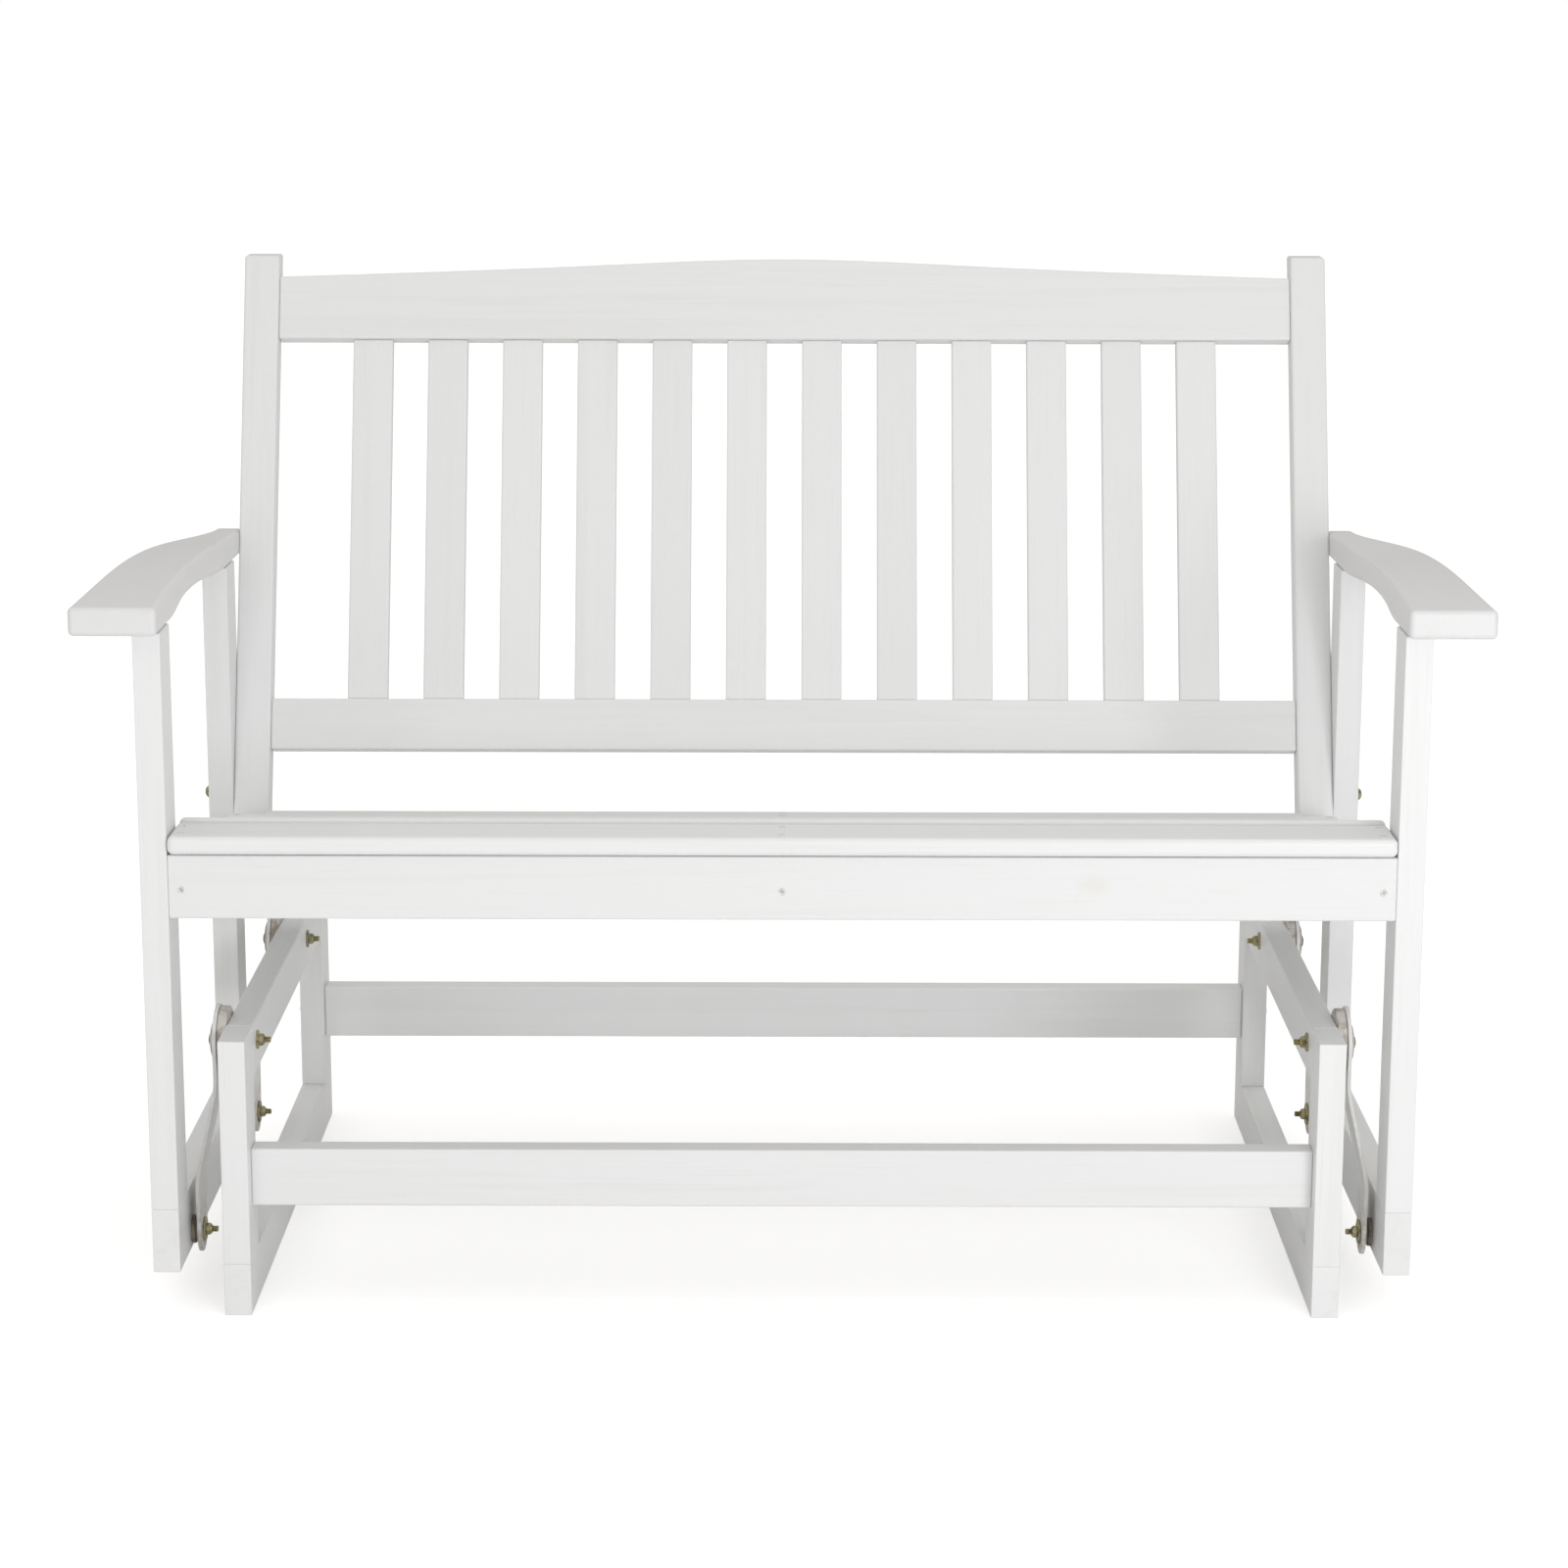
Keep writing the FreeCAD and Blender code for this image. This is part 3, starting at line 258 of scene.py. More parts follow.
def select_only(pieces):
    """Select these pieces alone, the first of them active."""
    deselect()
    for piece in pieces:
        piece.select_set(True)
    bpy.context.view_layer.objects.active = pieces[0]


def face_outward(piece):
    """Turn all the faces of the active piece outward."""
    bpy.ops.object.mode_set(mode="EDIT")
    bpy.ops.mesh.select_all(action="SELECT")
    bpy.ops.mesh.normals_make_consistent(inside=False)
    bpy.ops.object.mode_set(mode="OBJECT")
    return piece


def turned(profile, depth, height, sides=40):
    """A round part turned about a line across the bench. Its profile is pairs in
    millimetres: how far across, and the radius there."""
    deselect()
    across, radius = profile[0]
    bpy.ops.mesh.primitive_circle_add(
        vertices=sides, radius=radius * MM, fill_type="NGON",
        location=(across * MM, depth, height), rotation=(0.0, math.pi / 2, 0.0))
    part = bpy.context.active_object
    bpy.ops.object.transform_apply(location=True, rotation=True, scale=True)
    bpy.ops.object.mode_set(mode="EDIT")
    bpy.ops.mesh.select_mode(type="FACE")
    bpy.ops.mesh.select_all(action="SELECT")
    for next_across, next_radius in profile[1:]:
        step = ((next_across - across) * MM, 0.0, 0.0)
        bpy.ops.mesh.extrude_region_move(TRANSFORM_OT_translate={"value": step})
        if next_radius != radius:
            share = next_radius / radius
            bpy.ops.transform.resize(value=(1.0, share, share))
        across, radius = next_across, next_radius
    bpy.ops.object.mode_set(mode="OBJECT")
    return face_outward(part)


def copied(piece):
    """A copy of a piece with a mesh of its own."""
    twin = piece.copy()
    twin.data = piece.data.copy()
    bpy.context.scene.collection.objects.link(twin)
    return twin


def joined(pieces, name):
    """Pieces made one object, with its place in its mesh."""
    select_only(pieces)
    if len(pieces) > 1:
        bpy.ops.object.join()
    whole = bpy.context.active_object
    whole.name = name
    whole.data.name = name
    bpy.ops.object.transform_apply(location=True, rotation=True, scale=True)
    return whole


def moved(piece, step):
    """The piece's mesh moved by a step."""
    select_only([piece])
    piece.location = step
    bpy.ops.object.transform_apply(location=True, rotation=False, scale=False)
    return piece


def mirrored(piece):
    """A copy of the piece on the other side of the bench, its faces turned back out."""
    twin = copied(piece)
    select_only([twin])
    twin.scale = (-1.0, 1.0, 1.0)
    bpy.ops.object.transform_apply(location=False, rotation=False, scale=True)
    return face_outward(twin)


def four_of(parts, step_back, name):
    """Right front parts repeated behind and on the left, as one piece."""
    front = joined(parts, name)
    pair = joined([front, moved(copied(front), (0.0, step_back, 0.0))], name)
    return joined([pair, mirrored(pair)], name)


def finished(piece, material, body, slot, *replaced, smooth_angle=35.0):
    """Smooth the piece, give it its finish, and say what it rides on and stands for."""
    select_only([piece])
    bpy.ops.object.shade_smooth_by_angle(angle=math.radians(smooth_angle))
    piece.data.materials.clear()
    piece.data.materials.append(material)
    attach(piece, body)
    if replaced:
        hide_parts(*replaced)


BOLT_RADIUS = 3.0
BOLT_SIDES = 32
HEAD_PROFILE = ((3.0, 0.8), (2.9, 2.4), (2.5, 4.2), (1.8, 5.7), (0.9, 6.7), (0.25, 7.0),
                (0.0, 6.9), (0.0, BOLT_RADIUS))
THREAD_PITCH, THREAD_ROOT, THREAD_POINT = 1.0, 2.5, 2.3


def coach_bolt(seat, end, depth, height, thread=0.0, dome=1.0):
    """A domed bolt: its head's seat, its shank's end, its bared thread and its dome's height."""
    profile = [(seat + dome * rise, radius) for rise, radius in HEAD_PROFILE]
    profile.append((end + thread, BOLT_RADIUS))
    across = end + thread
    while across - THREAD_PITCH > end:
        profile += [(across - 0.5 * THREAD_PITCH, THREAD_ROOT),
                    (across - THREAD_PITCH, BOLT_RADIUS)]
        across -= THREAD_PITCH
    profile.append((end, THREAD_POINT))
    return turned(profile, depth, height, sides=BOLT_SIDES)


YELLOW_ZINC, DULL_ZINC, DIRTY_ZINC = (0.50, 0.455, 0.26), (0.42, 0.40, 0.28), (0.20, 0.165, 0.10)
zinc, zinc_tree, zinc_shader, zinc_bump, zinc_place = painted("yellow_zinc", 0.4, 0.0001, 0.5)
zinc_shader.inputs["Metallic"].default_value = 1.0
smudges = noise(zinc_tree, zinc_place, Scale=210.0, Detail=3.0)
clouds = noise(zinc_tree, zinc_place, Scale=60.0, Detail=2.0)
plating = tinted(zinc_tree, ranged(zinc_tree, clouds, 0.4, 0.65), YELLOW_ZINC, DULL_ZINC)
zinc_tree.links.new(tinted(zinc_tree, ranged(zinc_tree, smudges, 0.45, 0.7), plating, DIRTY_ZINC),
                    zinc_shader.inputs["Base Color"])
zinc_tree.links.new(ranged(zinc_tree, smudges, 0.3, 0.7, 0.3, 0.5),
                    zinc_shader.inputs["Roughness"])
zinc_tree.links.new(smudges, zinc_bump.inputs["Height"])

STRETCHER_HEIGHT = 0.1285
STRETCHER_FRONT = 0.0325 - MIDDLE_DEPTH
STRETCHER_STEP = 0.571
STRETCHER_BOLT_END = 449.0
stretcher_bolt = coach_bolt(BASE_OUTSIDE, STRETCHER_BOLT_END, STRETCHER_FRONT,
                            STRETCHER_HEIGHT)
finished(four_of([stretcher_bolt], STRETCHER_STEP, "stretcher_bolts"), zinc, "base",
         "zinc_steel", "base_stretcher_bolts")

# Upper pivots: on each side of the base two M6 bolts run through the top rail. From the
# outside in they carry a pressed cover, the hanger link and a thick pale spacer, and
# inside the rail a washer and a lock nut, past which the bolt's thread shows.
PIVOT_FRONT = 0.082 - MIDDLE_DEPTH
PIVOT_STEP = 0.377
PIVOT_TOP = 0.244
PIVOT_LOW = 0.057
NUT_FLATS = 10.0
HEX_RADIUS = NUT_FLATS / math.sqrt(3.0)
HEX_HEIGHT, COLLAR_HEIGHT = 4.3, 1.2
WASHER_THICKNESS = 2.0
BARE_THREAD = 6.0


def lock_nut(seat, depth, height):
    """A chamfered hexagon nut with its round collar, screwed up to a washer."""
    deselect()
    bpy.ops.mesh.primitive_cylinder_add(
        vertices=6, radius=HEX_RADIUS * MM, depth=HEX_HEIGHT * MM,
        location=((seat - HEX_HEIGHT / 2) * MM, depth, height), rotation=(0.0, math.pi / 2, 0.0))
    hexagon = bpy.context.active_object
    bpy.ops.object.transform_apply(location=True, rotation=True, scale=True)
    blank = turned([(seat + 0.1, 4.9), (seat - 0.6, 5.85), (seat - HEX_HEIGHT + 0.6, 5.85),
                    (seat - HEX_HEIGHT - 0.1, 4.9)], depth, height)
    select_only([hexagon])
    chamfer = hexagon.modifiers.new("chamfer", "BOOLEAN")
    chamfer.operation = "INTERSECT"
    chamfer.object = blank
    chamfer.solver = "EXACT"
    bpy.ops.object.modifier_apply(modifier=chamfer.name)
    bpy.data.objects.remove(blank)
    top = seat - HEX_HEIGHT
    collar = turned([(top + 0.2, 4.4), (top - 0.7, 4.4), (top - 1.05, 4.1),
                     (top - COLLAR_HEIGHT, 3.6), (top - COLLAR_HEIGHT + 0.3, 3.2)],
                    depth, height)
    return [hexagon, collar]


def washer(seat, radius, depth, height):
    """A punched washer, one face a little domed by the punch."""
    face = seat - WASHER_THICKNESS
    return turned([(seat, radius - 0.1), (seat - 0.3, radius), (face + 0.6, radius),
                   (face + 0.15, radius - 0.45), (face, radius - 1.0)], depth, height)


def moulded(name, clean, soiled, roughness):
    """Moulded nylon with cloudy dirt on it."""
    material, tree, shader, bump, place = painted(name, 0.3, 0.0001, 0.4)
    dirt = noise(tree, place, Scale=85.0, Detail=4.0, Roughness=0.6)
    pores = noise(tree, place, Scale=1400.0, Detail=1.0)
    tree.links.new(tinted(tree, ranged(tree, dirt, 0.42, 0.66), clean, soiled),
                   shader.inputs["Base Color"])
    tree.links.new(ranged(tree, dirt, 0.3, 0.7, roughness, roughness + 0.15),
                   shader.inputs["Roughness"])
    tree.links.new(pores, bump.inputs["Height"])
    return material


PALE_NYLON, SOILED_PALE_NYLON = (0.66, 0.63, 0.585), (0.40, 0.35, 0.30)
pale_nylon = moulded("pale_spacer", PALE_NYLON, SOILED_PALE_NYLON, 0.42)
upper_place = (PIVOT_FRONT, PIVOT_TOP)
BASE_INSIDE = BASE_OUTSIDE - BOARD_THICKNESS
COVER_FACE, UPPER_BOLT_END, UPPER_WASHER_RADIUS = 536.3, 481.0, 9.0
finished(four_of([
    turned([(BASE_OUTSIDE, 31.2), (519.5, 31.9), (526.8, 32.0), (527.5, 31.5), (527.7, 30.6)],
           *upper_place, sides=64),
    turned([(531.8, 18.0), (533.6, 18.0), (534.8, 17.3), (535.7, 15.8), (COVER_FACE, 13.5),
            (536.2, 9.0)], *upper_place, sides=48)], PIVOT_STEP, "upper_spacers"),
    pale_nylon, "base", "pale_spacer", "upper_pivot_spacers")
finished(four_of([washer(BASE_INSIDE, UPPER_WASHER_RADIUS, *upper_place)], PIVOT_STEP,
                 "upper_washers"), zinc, "base", "zinc_steel", "upper_pivot_washers")
finished(four_of(lock_nut(BASE_INSIDE - WASHER_THICKNESS, *upper_place), PIVOT_STEP,
                 "upper_lock_nuts"), zinc, "base", "zinc_steel", "upper_pivot_nuts")
finished(four_of([coach_bolt(COVER_FACE, UPPER_BOLT_END, *upper_place, thread=BARE_THREAD)],
                 PIVOT_STEP, "upper_bolts"), zinc, "base", "zinc_steel", "upper_pivot_bolts")

# Hanger links: four teardrop plates of 3.5 mm steel, bent outwards on their way down
# so that they clear the base, with their sheared edges dulled and then painted white.
# The paint turns brown in noisy patches towards each link's foot, round the lower bolts.
LINK_THICKNESS, LINK_ACROSS = 3.5, 529.75
LINK_TOP_RADIUS, LINK_LOW_RADIUS = 34.0, 21.0
LINK_BENDS = ((205.0, 112.0), 10.0)
LINK_CRANK = 21.2
FLAT_ANGLE, SHARP_ANGLE, DULLED_EDGE = 0.5, 50.0, 0.0006


def crank(height):
    """How far out the link has been bent at a height, in millimetres."""
    (high, low), ease = LINK_BENDS
    slope = LINK_CRANK / (high - low)
    if height >= high + ease:
        return 0.0
    if height > high - ease:
        return slope * (high + ease - height) ** 2 / (4.0 * ease)
    if height >= low + ease:
        return slope * (high - height)
    if height > low - ease:
        return LINK_CRANK - slope * (height - low + ease) ** 2 / (4.0 * ease)
    return LINK_CRANK


def hanger_plate(depth):
    """A teardrop plate round both pivots, bent outwards and softened along its edges."""
    deselect()
    turn = (0.0, math.pi / 2, 0.0)
    bpy.ops.mesh.primitive_cylinder_add(
        vertices=64, radius=LINK_TOP_RADIUS * MM, depth=LINK_THICKNESS * MM,
        location=(LINK_ACROSS * MM, depth, PIVOT_TOP), rotation=turn)
    plate = bpy.context.active_object
    bpy.ops.object.transform_apply(location=True, rotation=True, scale=True)
    bpy.ops.object.mode_set(mode="EDIT")
    bpy.ops.mesh.primitive_cylinder_add(
        vertices=48, radius=LINK_LOW_RADIUS * MM, depth=LINK_THICKNESS * MM,
        location=(LINK_ACROSS * MM, depth, PIVOT_LOW), rotation=turn)
    bpy.ops.mesh.select_all(action="SELECT")
    bpy.ops.mesh.convex_hull()
    bpy.ops.mesh.select_all(action="SELECT")
    bpy.ops.mesh.dissolve_limited(angle_limit=math.radians(FLAT_ANGLE))
    (high, low), ease = LINK_BENDS
    heights = [bend + share * ease for bend in (high, low) for share in (1.0, 0.5, 0.0, -0.5, -1.0)]
    for height in heights:
        bpy.ops.mesh.select_all(action="SELECT")
        bpy.ops.mesh.bisect(plane_co=(0.0, 0.0, height * MM), plane_no=(0.0, 0.0, 1.0))
    bpy.ops.object.mode_set(mode="OBJECT")
    bent = 0.0
    for height in heights[1:]:
        bpy.ops.object.mode_set(mode="EDIT")
        bpy.ops.mesh.select_mode(type="VERT")
        bpy.ops.mesh.select_all(action="DESELECT")
        bpy.ops.object.mode_set(mode="OBJECT")
        for corner in plate.data.vertices:
            corner.select = corner.co.z < (height + 0.01) * MM
        bpy.ops.object.mode_set(mode="EDIT")
        bpy.ops.transform.translate(value=((crank(height) - bent) * MM, 0.0, 0.0))
        bpy.ops.object.mode_set(mode="OBJECT")
        bent = crank(height)
    soften = plate.modifiers.new("soften", "BEVEL")
    soften.width = DULLED_EDGE
    soften.segments = 2
    soften.angle_limit = math.radians(SHARP_ANGLE)
    bpy.ops.object.modifier_apply(modifier=soften.name)
    return plate


STEEL_WHITE, FOOT_BROWN = (0.82, 0.82, 0.81), (0.52, 0.46, 0.38)
steel_paint, steel_tree, steel_shader, steel_bump, steel_place = painted(
    "painted_steel", 0.35, 0.0001, 0.5)
patch_noise = noise(steel_tree, steel_place, Scale=90.0, Detail=4.0, Roughness=0.65)
steel_axes = add_node(steel_tree, "ShaderNodeSeparateXYZ")
steel_tree.links.new(steel_place, steel_axes.inputs["Vector"])
# Brown paint in noisy patches, fading in below about 0.11 m towards the link's foot.
low_share = ranged(steel_tree, steel_axes.outputs["Z"], 0.03, 0.11, 1.0, 0.12)
foot_brown_share = combine(steel_tree, "MULTIPLY", low_share, ranged(steel_tree, patch_noise, 0.38, 0.62))
steel_tree.links.new(tinted(steel_tree, foot_brown_share, STEEL_WHITE, FOOT_BROWN),
                     steel_shader.inputs["Base Color"])
steel_tree.links.new(ranged(steel_tree, patch_noise, 0.3, 0.7, 0.32, 0.46),
                     steel_shader.inputs["Roughness"])
steel_tree.links.new(noise(steel_tree, steel_place, Scale=700.0, Detail=1.0),
                     steel_bump.inputs["Height"])
for end, depth in (("front", PIVOT_FRONT), ("rear", PIVOT_FRONT + PIVOT_STEP)):
    plate = joined([hanger_plate(depth)], f"hanger_{end}_right")
    left_plate = joined([mirrored(plate)], f"hanger_{end}_left")
    finished(plate, steel_paint, f"link_{end}_right", "painted_steel", f"link_{end}_right")
    finished(left_plate, steel_paint, f"link_{end}_left", "painted_steel", f"link_{end}_left")

# Lower pivots: bolts through the lower rails of the seat's side frames. Inside the rail
# come a dark nylon disc and a smaller one, then the link's foot, a broad washer and a
# lock nut, with the thread bared past it.
DARK_NYLON, SOILED_DARK_NYLON = (0.30, 0.26, 0.22), (0.16, 0.135, 0.11)
dark_nylon = moulded("dark_spacer", DARK_NYLON, SOILED_DARK_NYLON, 0.5)
lower_place = (PIVOT_FRONT, PIVOT_LOW)
SEAT_INSIDE = 560.0
SEAT_OUTSIDE = SEAT_INSIDE + BOARD_THICKNESS
LINK_INSIDE, LOWER_BOLT_END, LOWER_WASHER_RADIUS = 548.9, 535.9, 11.5
finished(four_of([
    turned([(SEAT_INSIDE, 13.2), (559.6, 13.5), (556.6, 13.5), (556.2, 13.2), (556.0, 12.6)],
           *lower_place, sides=48),
    turned([(556.0, 11.2), (555.6, 11.5), (553.5, 11.5), (553.0, 11.1)], *lower_place,
           sides=48)], PIVOT_STEP, "lower_spacers"),
    dark_nylon, "seat", "dark_spacer", "lower_pivot_spacers")
finished(four_of([washer(LINK_INSIDE, LOWER_WASHER_RADIUS, *lower_place)], PIVOT_STEP,
                 "lower_washers"), zinc, "seat", "zinc_steel", "lower_pivot_washers")
finished(four_of(lock_nut(LINK_INSIDE - WASHER_THICKNESS, *lower_place), PIVOT_STEP,
                 "lower_lock_nuts"), zinc, "seat", "zinc_steel", "lower_pivot_nuts")
finished(four_of([coach_bolt(SEAT_OUTSIDE, LOWER_BOLT_END, *lower_place, thread=BARE_THREAD)],
                 PIVOT_STEP, "lower_bolts"), zinc, "seat", "zinc_steel", "lower_pivot_bolts")

# Seat frame: on each side a lower rail with two posts, three supports sawn to carry the
# slats, a rail behind them, and the apron across the front, screwed on at its ends and
# middle. The screws are countersunk and were painted over with the wood.
paint_boards([f"seat_{side}_lower_rail" for side in SIDES], "deep")
paint_boards([f"seat_{side}_{end}_post" for side in SIDES for end in ENDS], "upright")
paint_boards([f"seat_support_{place}" for place in ("left", "centre", "right")], "deep")
paint_boards(["seat_rear_rail", "seat_apron"], "across")

SCREW_RADIUS, SCREW_HEIGHT, SCREW_RISE = 0.0036, 0.003, 0.0003
RIM_WIDTH, RIM_RISE, DISH_WIDTH, DISH_FALL = 0.0005, 0.0002, 0.0006, 0.00015
RECESS_DEPTH, RECESS_LENGTH, RECESS_WIDTH, RECESS_TURN = 0.0016, 0.0042, 0.001, 0.3


def screw_head():
    """A countersunk head at the origin, facing up, with its cross recess."""
    deselect()
    bpy.ops.mesh.primitive_cylinder_add(vertices=24, radius=SCREW_RADIUS, depth=SCREW_HEIGHT,
                                        location=(0.0, 0.0, SCREW_RISE - SCREW_HEIGHT / 2))
    head = bpy.context.active_object
    bpy.ops.object.transform_apply(location=True, rotation=True, scale=True)
    bpy.ops.object.mode_set(mode="EDIT")
    bpy.ops.mesh.select_mode(type="FACE")
    bpy.ops.mesh.select_all(action="DESELECT")
    bpy.ops.object.mode_set(mode="OBJECT")
    for face in head.data.polygons:
        face.select = face.normal.z > 0.9
    bpy.ops.object.mode_set(mode="EDIT")
    bpy.ops.mesh.inset(thickness=RIM_WIDTH, depth=RIM_RISE)
    bpy.ops.mesh.inset(thickness=DISH_WIDTH, depth=-DISH_FALL)
    bpy.ops.object.mode_set(mode="OBJECT")
    for turn in (0.0, math.pi / 2):
        bpy.ops.mesh.primitive_cube_add(size=1.0, location=(0.0, 0.0, SCREW_RISE),
                                        rotation=(0.0, 0.0, turn + RECESS_TURN),
                                        scale=(RECESS_LENGTH, RECESS_WIDTH, 2 * RECESS_DEPTH))
        blade = bpy.context.active_object
        select_only([head])
        recess = head.modifiers.new("recess", "BOOLEAN")
        recess.operation = "DIFFERENCE"
        recess.object = blade
        recess.solver = "EXACT"
        bpy.ops.object.modifier_apply(modifier=recess.name)
        bpy.data.objects.remove(blade)
    return head


def screwed(name, places):
    """Screw heads joined as one piece: each place, and the tilt of its face."""
    pattern = screw_head()
    heads = []
    for place, tilt in places:
        head = copied(pattern)
        head.data.transform(Matrix.Translation(place) @ Matrix.Rotation(tilt, 4, "X"))
        heads.append(head)
    bpy.data.objects.remove(pattern)
    return joined(heads, name)


SCREW_WHITE, SCREW_GRIME = (0.80, 0.80, 0.79), (0.60, 0.58, 0.54)
screw_paint, screw_tree, screw_shader, screw_bump, screw_place = painted(
    "painted_screw", 0.3, 0.0001, 0.45)
screw_dirt = noise(screw_tree, screw_place, Scale=400.0, Detail=3.0)
screw_tree.links.new(tinted(screw_tree, ranged(screw_tree, screw_dirt, 0.4, 0.7),
                            SCREW_WHITE, SCREW_GRIME), screw_shader.inputs["Base Color"])
screw_tree.links.new(ranged(screw_tree, screw_dirt, 0.3, 0.7, 0.36, 0.5),
                     screw_shader.inputs["Roughness"])
screw_tree.links.new(screw_dirt, screw_bump.inputs["Height"])
APRON_FRONT = 0.003 - MIDDLE_DEPTH
APRON_SCREW_HEIGHT, APRON_SCREW_SPREAD = 0.408, 0.548
finished(screwed("apron_screw_heads",
                 [((across, APRON_FRONT, APRON_SCREW_HEIGHT), math.pi / 2)
                  for across in (-APRON_SCREW_SPREAD, 0.0, APRON_SCREW_SPREAD)]),
         screw_paint, "seat", "painted_screw", "apron_screws")

# Seat slats: six boards with well rounded edges, each lying on its own flat of the three
# supports and held there by two painted screws at every crossing. The last one is
# notched in front of the stiles, so its ends have one screw each.
SLAT_NUMBERS = range(1, 7)
paint_boards([f"seat_slat_{number}" for number in SLAT_NUMBERS], "across")
SLAT_WIDTH, SLAT_PITCH, SLAT_THICKNESS, SLAT_RISE = 0.063, 0.071, 0.017, 0.0037
FIRST_TILT, TILT_STEP = 16.2, 2.3
FIRST_SLAT_NOSE, FIRST_FLAT_HEIGHT = 0.004, 0.442
SUPPORT_MIDDLES = (-0.5475, 0.0, 0.5475)
SCREW_SPREAD = 0.016
flat_start = Vector((0.0, -FIRST_SLAT_NOSE - MIDDLE_DEPTH - (SLAT_PITCH - SLAT_WIDTH) / 2,
                     FIRST_FLAT_HEIGHT))
slat_screws = []
for number in SLAT_NUMBERS:
    tilt = 0.0 if number == 1 else -math.radians(FIRST_TILT - (number - 2) * TILT_STEP)
    run = Vector((0.0, math.cos(tilt), math.sin(tilt)))
    out = Vector((0.0, -math.sin(tilt), math.cos(tilt)))
    for across in SUPPORT_MIDDLES:
        notched = number == SLAT_NUMBERS[-1] and across != 0.0
        rows = (-SCREW_SPREAD,) if notched else (-SCREW_SPREAD, SCREW_SPREAD)
        for along_slat in rows:
            spot = flat_start + run * (SLAT_PITCH / 2 + along_slat) + out * SLAT_THICKNESS
            slat_screws.append((spot + Vector((across, 0.0, 0.0)), tilt))
    flat_start += run * SLAT_PITCH
    if number == 1:
        flat_start.z += SLAT_RISE
finished(screwed("slat_screw_heads", slat_screws), screw_paint, "seat", "painted_screw")

# Back: two leaning stiles with an arched top rail and a bottom rail tenoned between
# them, and twelve slats tenoned into the rails. Two coach bolts a side with high domed
# heads hold the back: one through the rear post and one through the end of the arm.
paint_boards([f"back_stile_{side}" for side in SIDES], "leaning")
paint_boards([f"back_slat_{number:02d}" for number in range(1, 13)], "leaning")
paint_boards(["back_top_rail", "back_bottom_rail"], "across")
FULL_DOME, BACK_BOLT_END, ARM_HEAD_SEAT = 2.0, 534.0, 587.0
POST_BOLT_PLACE = (0.437 - MIDDLE_DEPTH, 0.405)
ARM_BOLT_PLACE = (0.523 - MIDDLE_DEPTH, 0.651)
post_bolt = coach_bolt(SEAT_OUTSIDE, BACK_BOLT_END, *POST_BOLT_PLACE, dome=FULL_DOME)
arm_bolt = coach_bolt(ARM_HEAD_SEAT, BACK_BOLT_END, *ARM_BOLT_PLACE, dome=FULL_DOME)
right_bolts = joined([post_bolt, arm_bolt], "back_bolts_right")
finished(joined([right_bolts, mirrored(right_bolts)], "back_coach_bolts"), zinc, "seat",
         "zinc_steel", "back_bolts")

# Arms: broad boards shaped with a crown and a hollow, resting on the front posts, cut
# to the slope of the rear posts, and tapering back to the stiles. Their paint is a darker
# white, painted shade standing in for the dimmer light that falls on the arm tops.
paint_boards([f"arm_{side}" for side in SIDES], "deep", (ARM_SHADE_WHITE,))

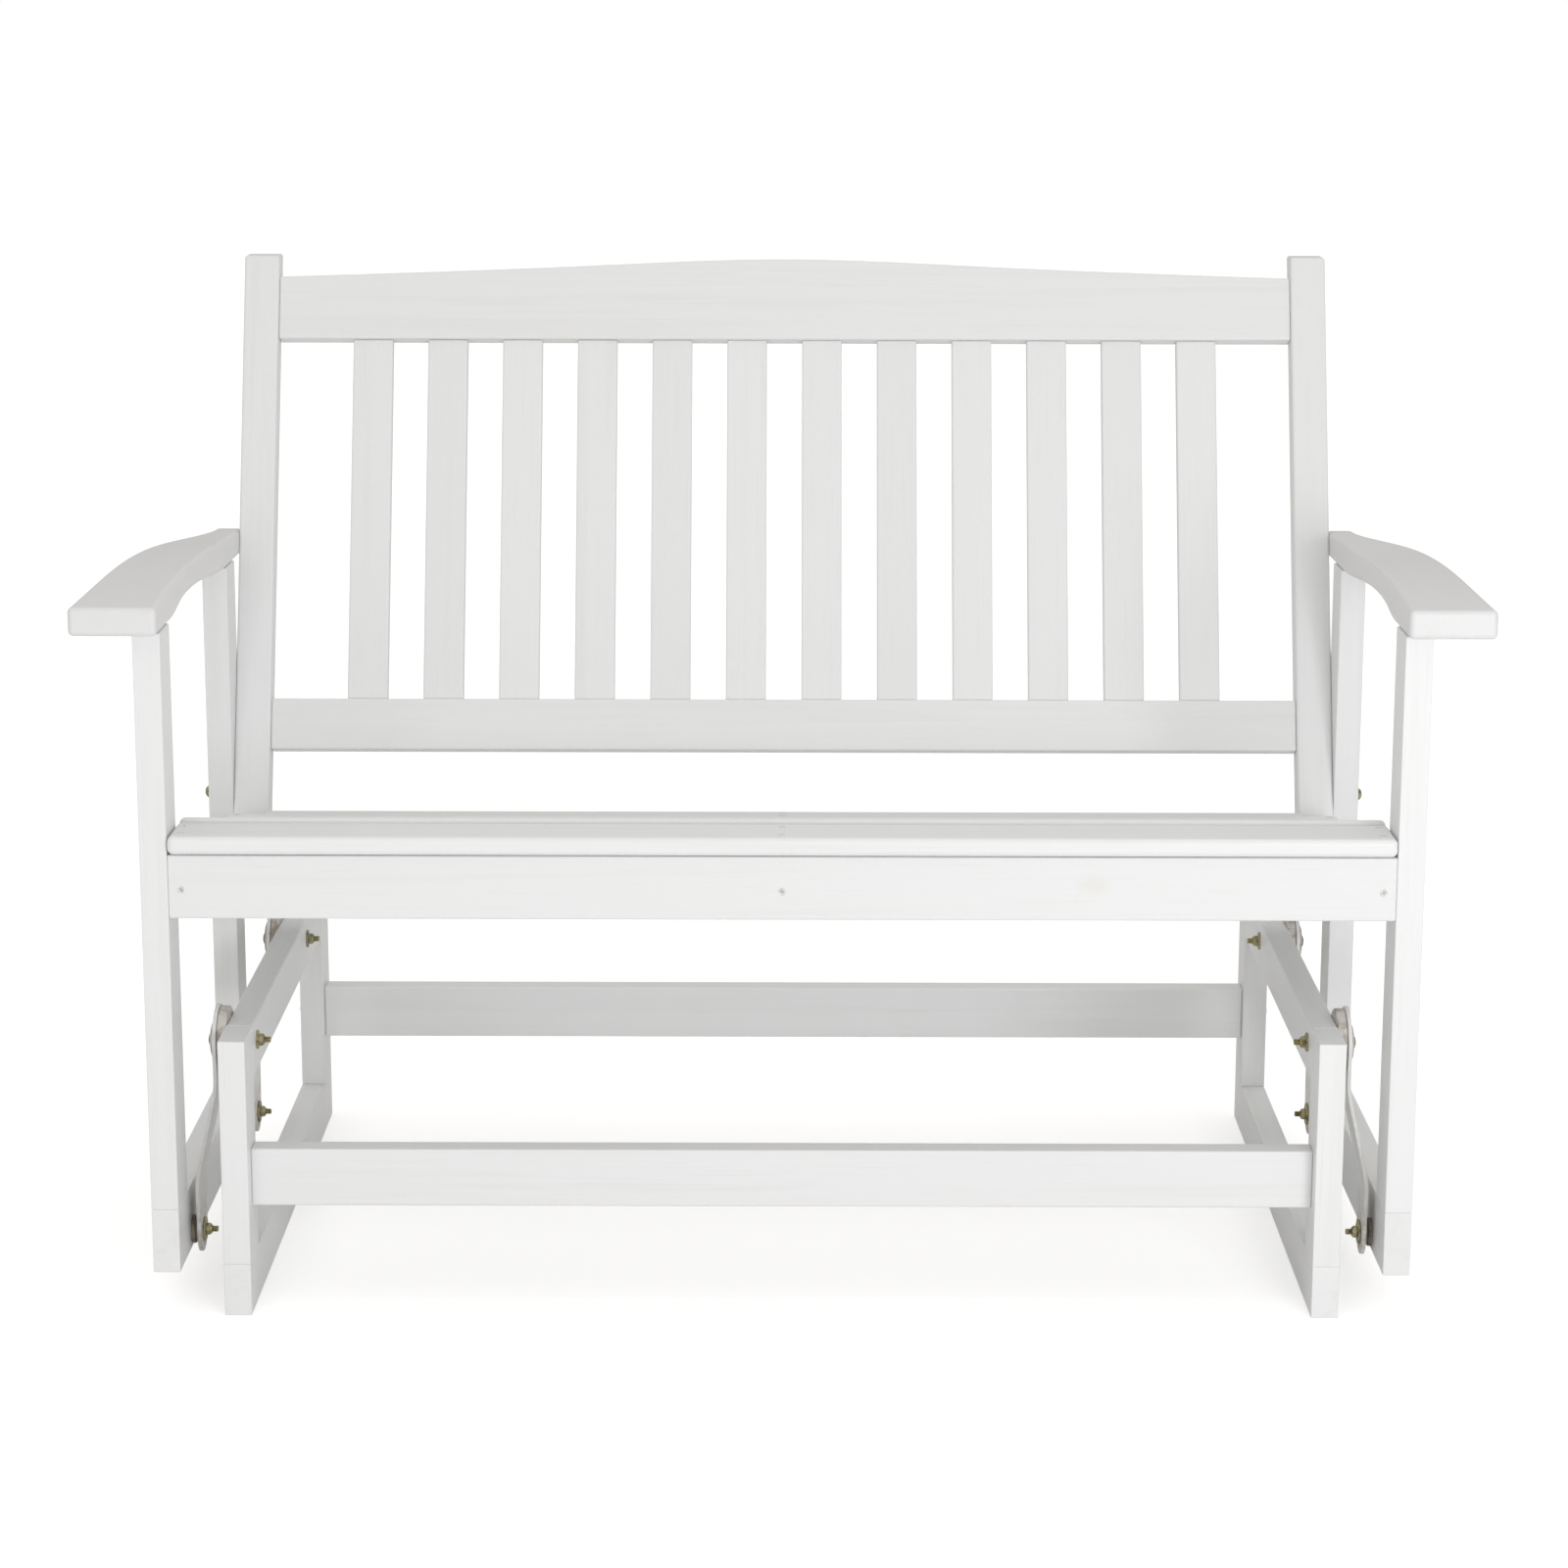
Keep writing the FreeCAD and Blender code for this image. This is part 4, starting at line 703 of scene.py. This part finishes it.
# Floor and light: a plain pale floor, a soft white surround that is brighter overhead,
# and two soft boxes in front, the stronger to the right.
FLOOR_WIDTH, FLOOR_ROUGHNESS, FLOOR_GLOW = 80.0, 0.9, 0.42
FLOOR_PALE, FLOOR_PALER, WHITE = (0.88, 0.876, 0.87), (0.885, 0.881, 0.875), (1.0, 1.0, 1.0)
deselect()
bpy.ops.mesh.primitive_plane_add(size=FLOOR_WIDTH, location=(0.0, 0.0, 0.0))
floor = bpy.context.active_object
floor.name = "floor"
floor_finish, floor_tree, floor_shader, floor_bump, floor_place = painted(
    "pale_floor", 0.1, 0.0005, 0.1)
floor_clouds = noise(floor_tree, floor_place, Scale=3.0, Detail=2.0)
floor_tree.links.new(tinted(floor_tree, floor_clouds, FLOOR_PALE, FLOOR_PALER),
                     floor_shader.inputs["Base Color"])
floor_tree.links.new(floor_clouds, floor_bump.inputs["Height"])
floor_shader.inputs["Roughness"].default_value = FLOOR_ROUGHNESS
floor_shader.inputs["Emission Color"].default_value = (*WHITE, 1.0)
seen = add_node(floor_tree, "ShaderNodeLightPath").outputs["Is Camera Ray"]
floor_tree.links.new(combine(floor_tree, "MULTIPLY", seen, FLOOR_GLOW),
                     floor_shader.inputs["Emission Strength"])
floor.data.materials.append(floor_finish)

world = bpy.data.worlds.new("studio")
bpy.context.scene.world = world
world.use_nodes = True
sky = world.node_tree
backdrop = sky.nodes["Background"]
sky_place = add_node(sky, "ShaderNodeTexCoord").outputs["Generated"]
sky_axes = add_node(sky, "ShaderNodeSeparateXYZ")
sky.links.new(sky_place, sky_axes.inputs["Vector"])
upness = ranged(sky, sky_axes.outputs["Z"], 0.1, 0.9)
SURROUND_LOW, SURROUND_HIGH = (0.47, 0.46, 0.445), (0.875, 0.865, 0.845)
surround = tinted(sky, upness, SURROUND_LOW, SURROUND_HIGH)
seen = add_node(sky, "ShaderNodeLightPath").outputs["Is Camera Ray"]
sky.links.new(tinted(sky, seen, surround, WHITE), backdrop.inputs["Color"])

BOX_WIDTH, BOX_COLOUR = 1.0, (0.97, 0.985, 1.015)
for name, place, aim, power in (
        ("right_box", (1.3, -3.0, 0.85), (0.1, 0.0, 0.45), 27.5),
        ("left_box", (-1.3, -3.0, 0.85), (-0.1, 0.0, 0.45), 8.5)):
    soft_box_data = bpy.data.lights.new(name, "AREA")
    soft_box_data.color = BOX_COLOUR
    soft_box_data.size = BOX_WIDTH
    soft_box_data.energy = power
    soft_box = bpy.data.objects.new(name, soft_box_data)
    bpy.context.scene.collection.objects.link(soft_box)
    soft_box.visible_camera = False
    soft_box.matrix_world = Matrix.Translation(place) @ (
        Vector(aim) - Vector(place)).to_track_quat("-Z", "Y").to_matrix().to_4x4()
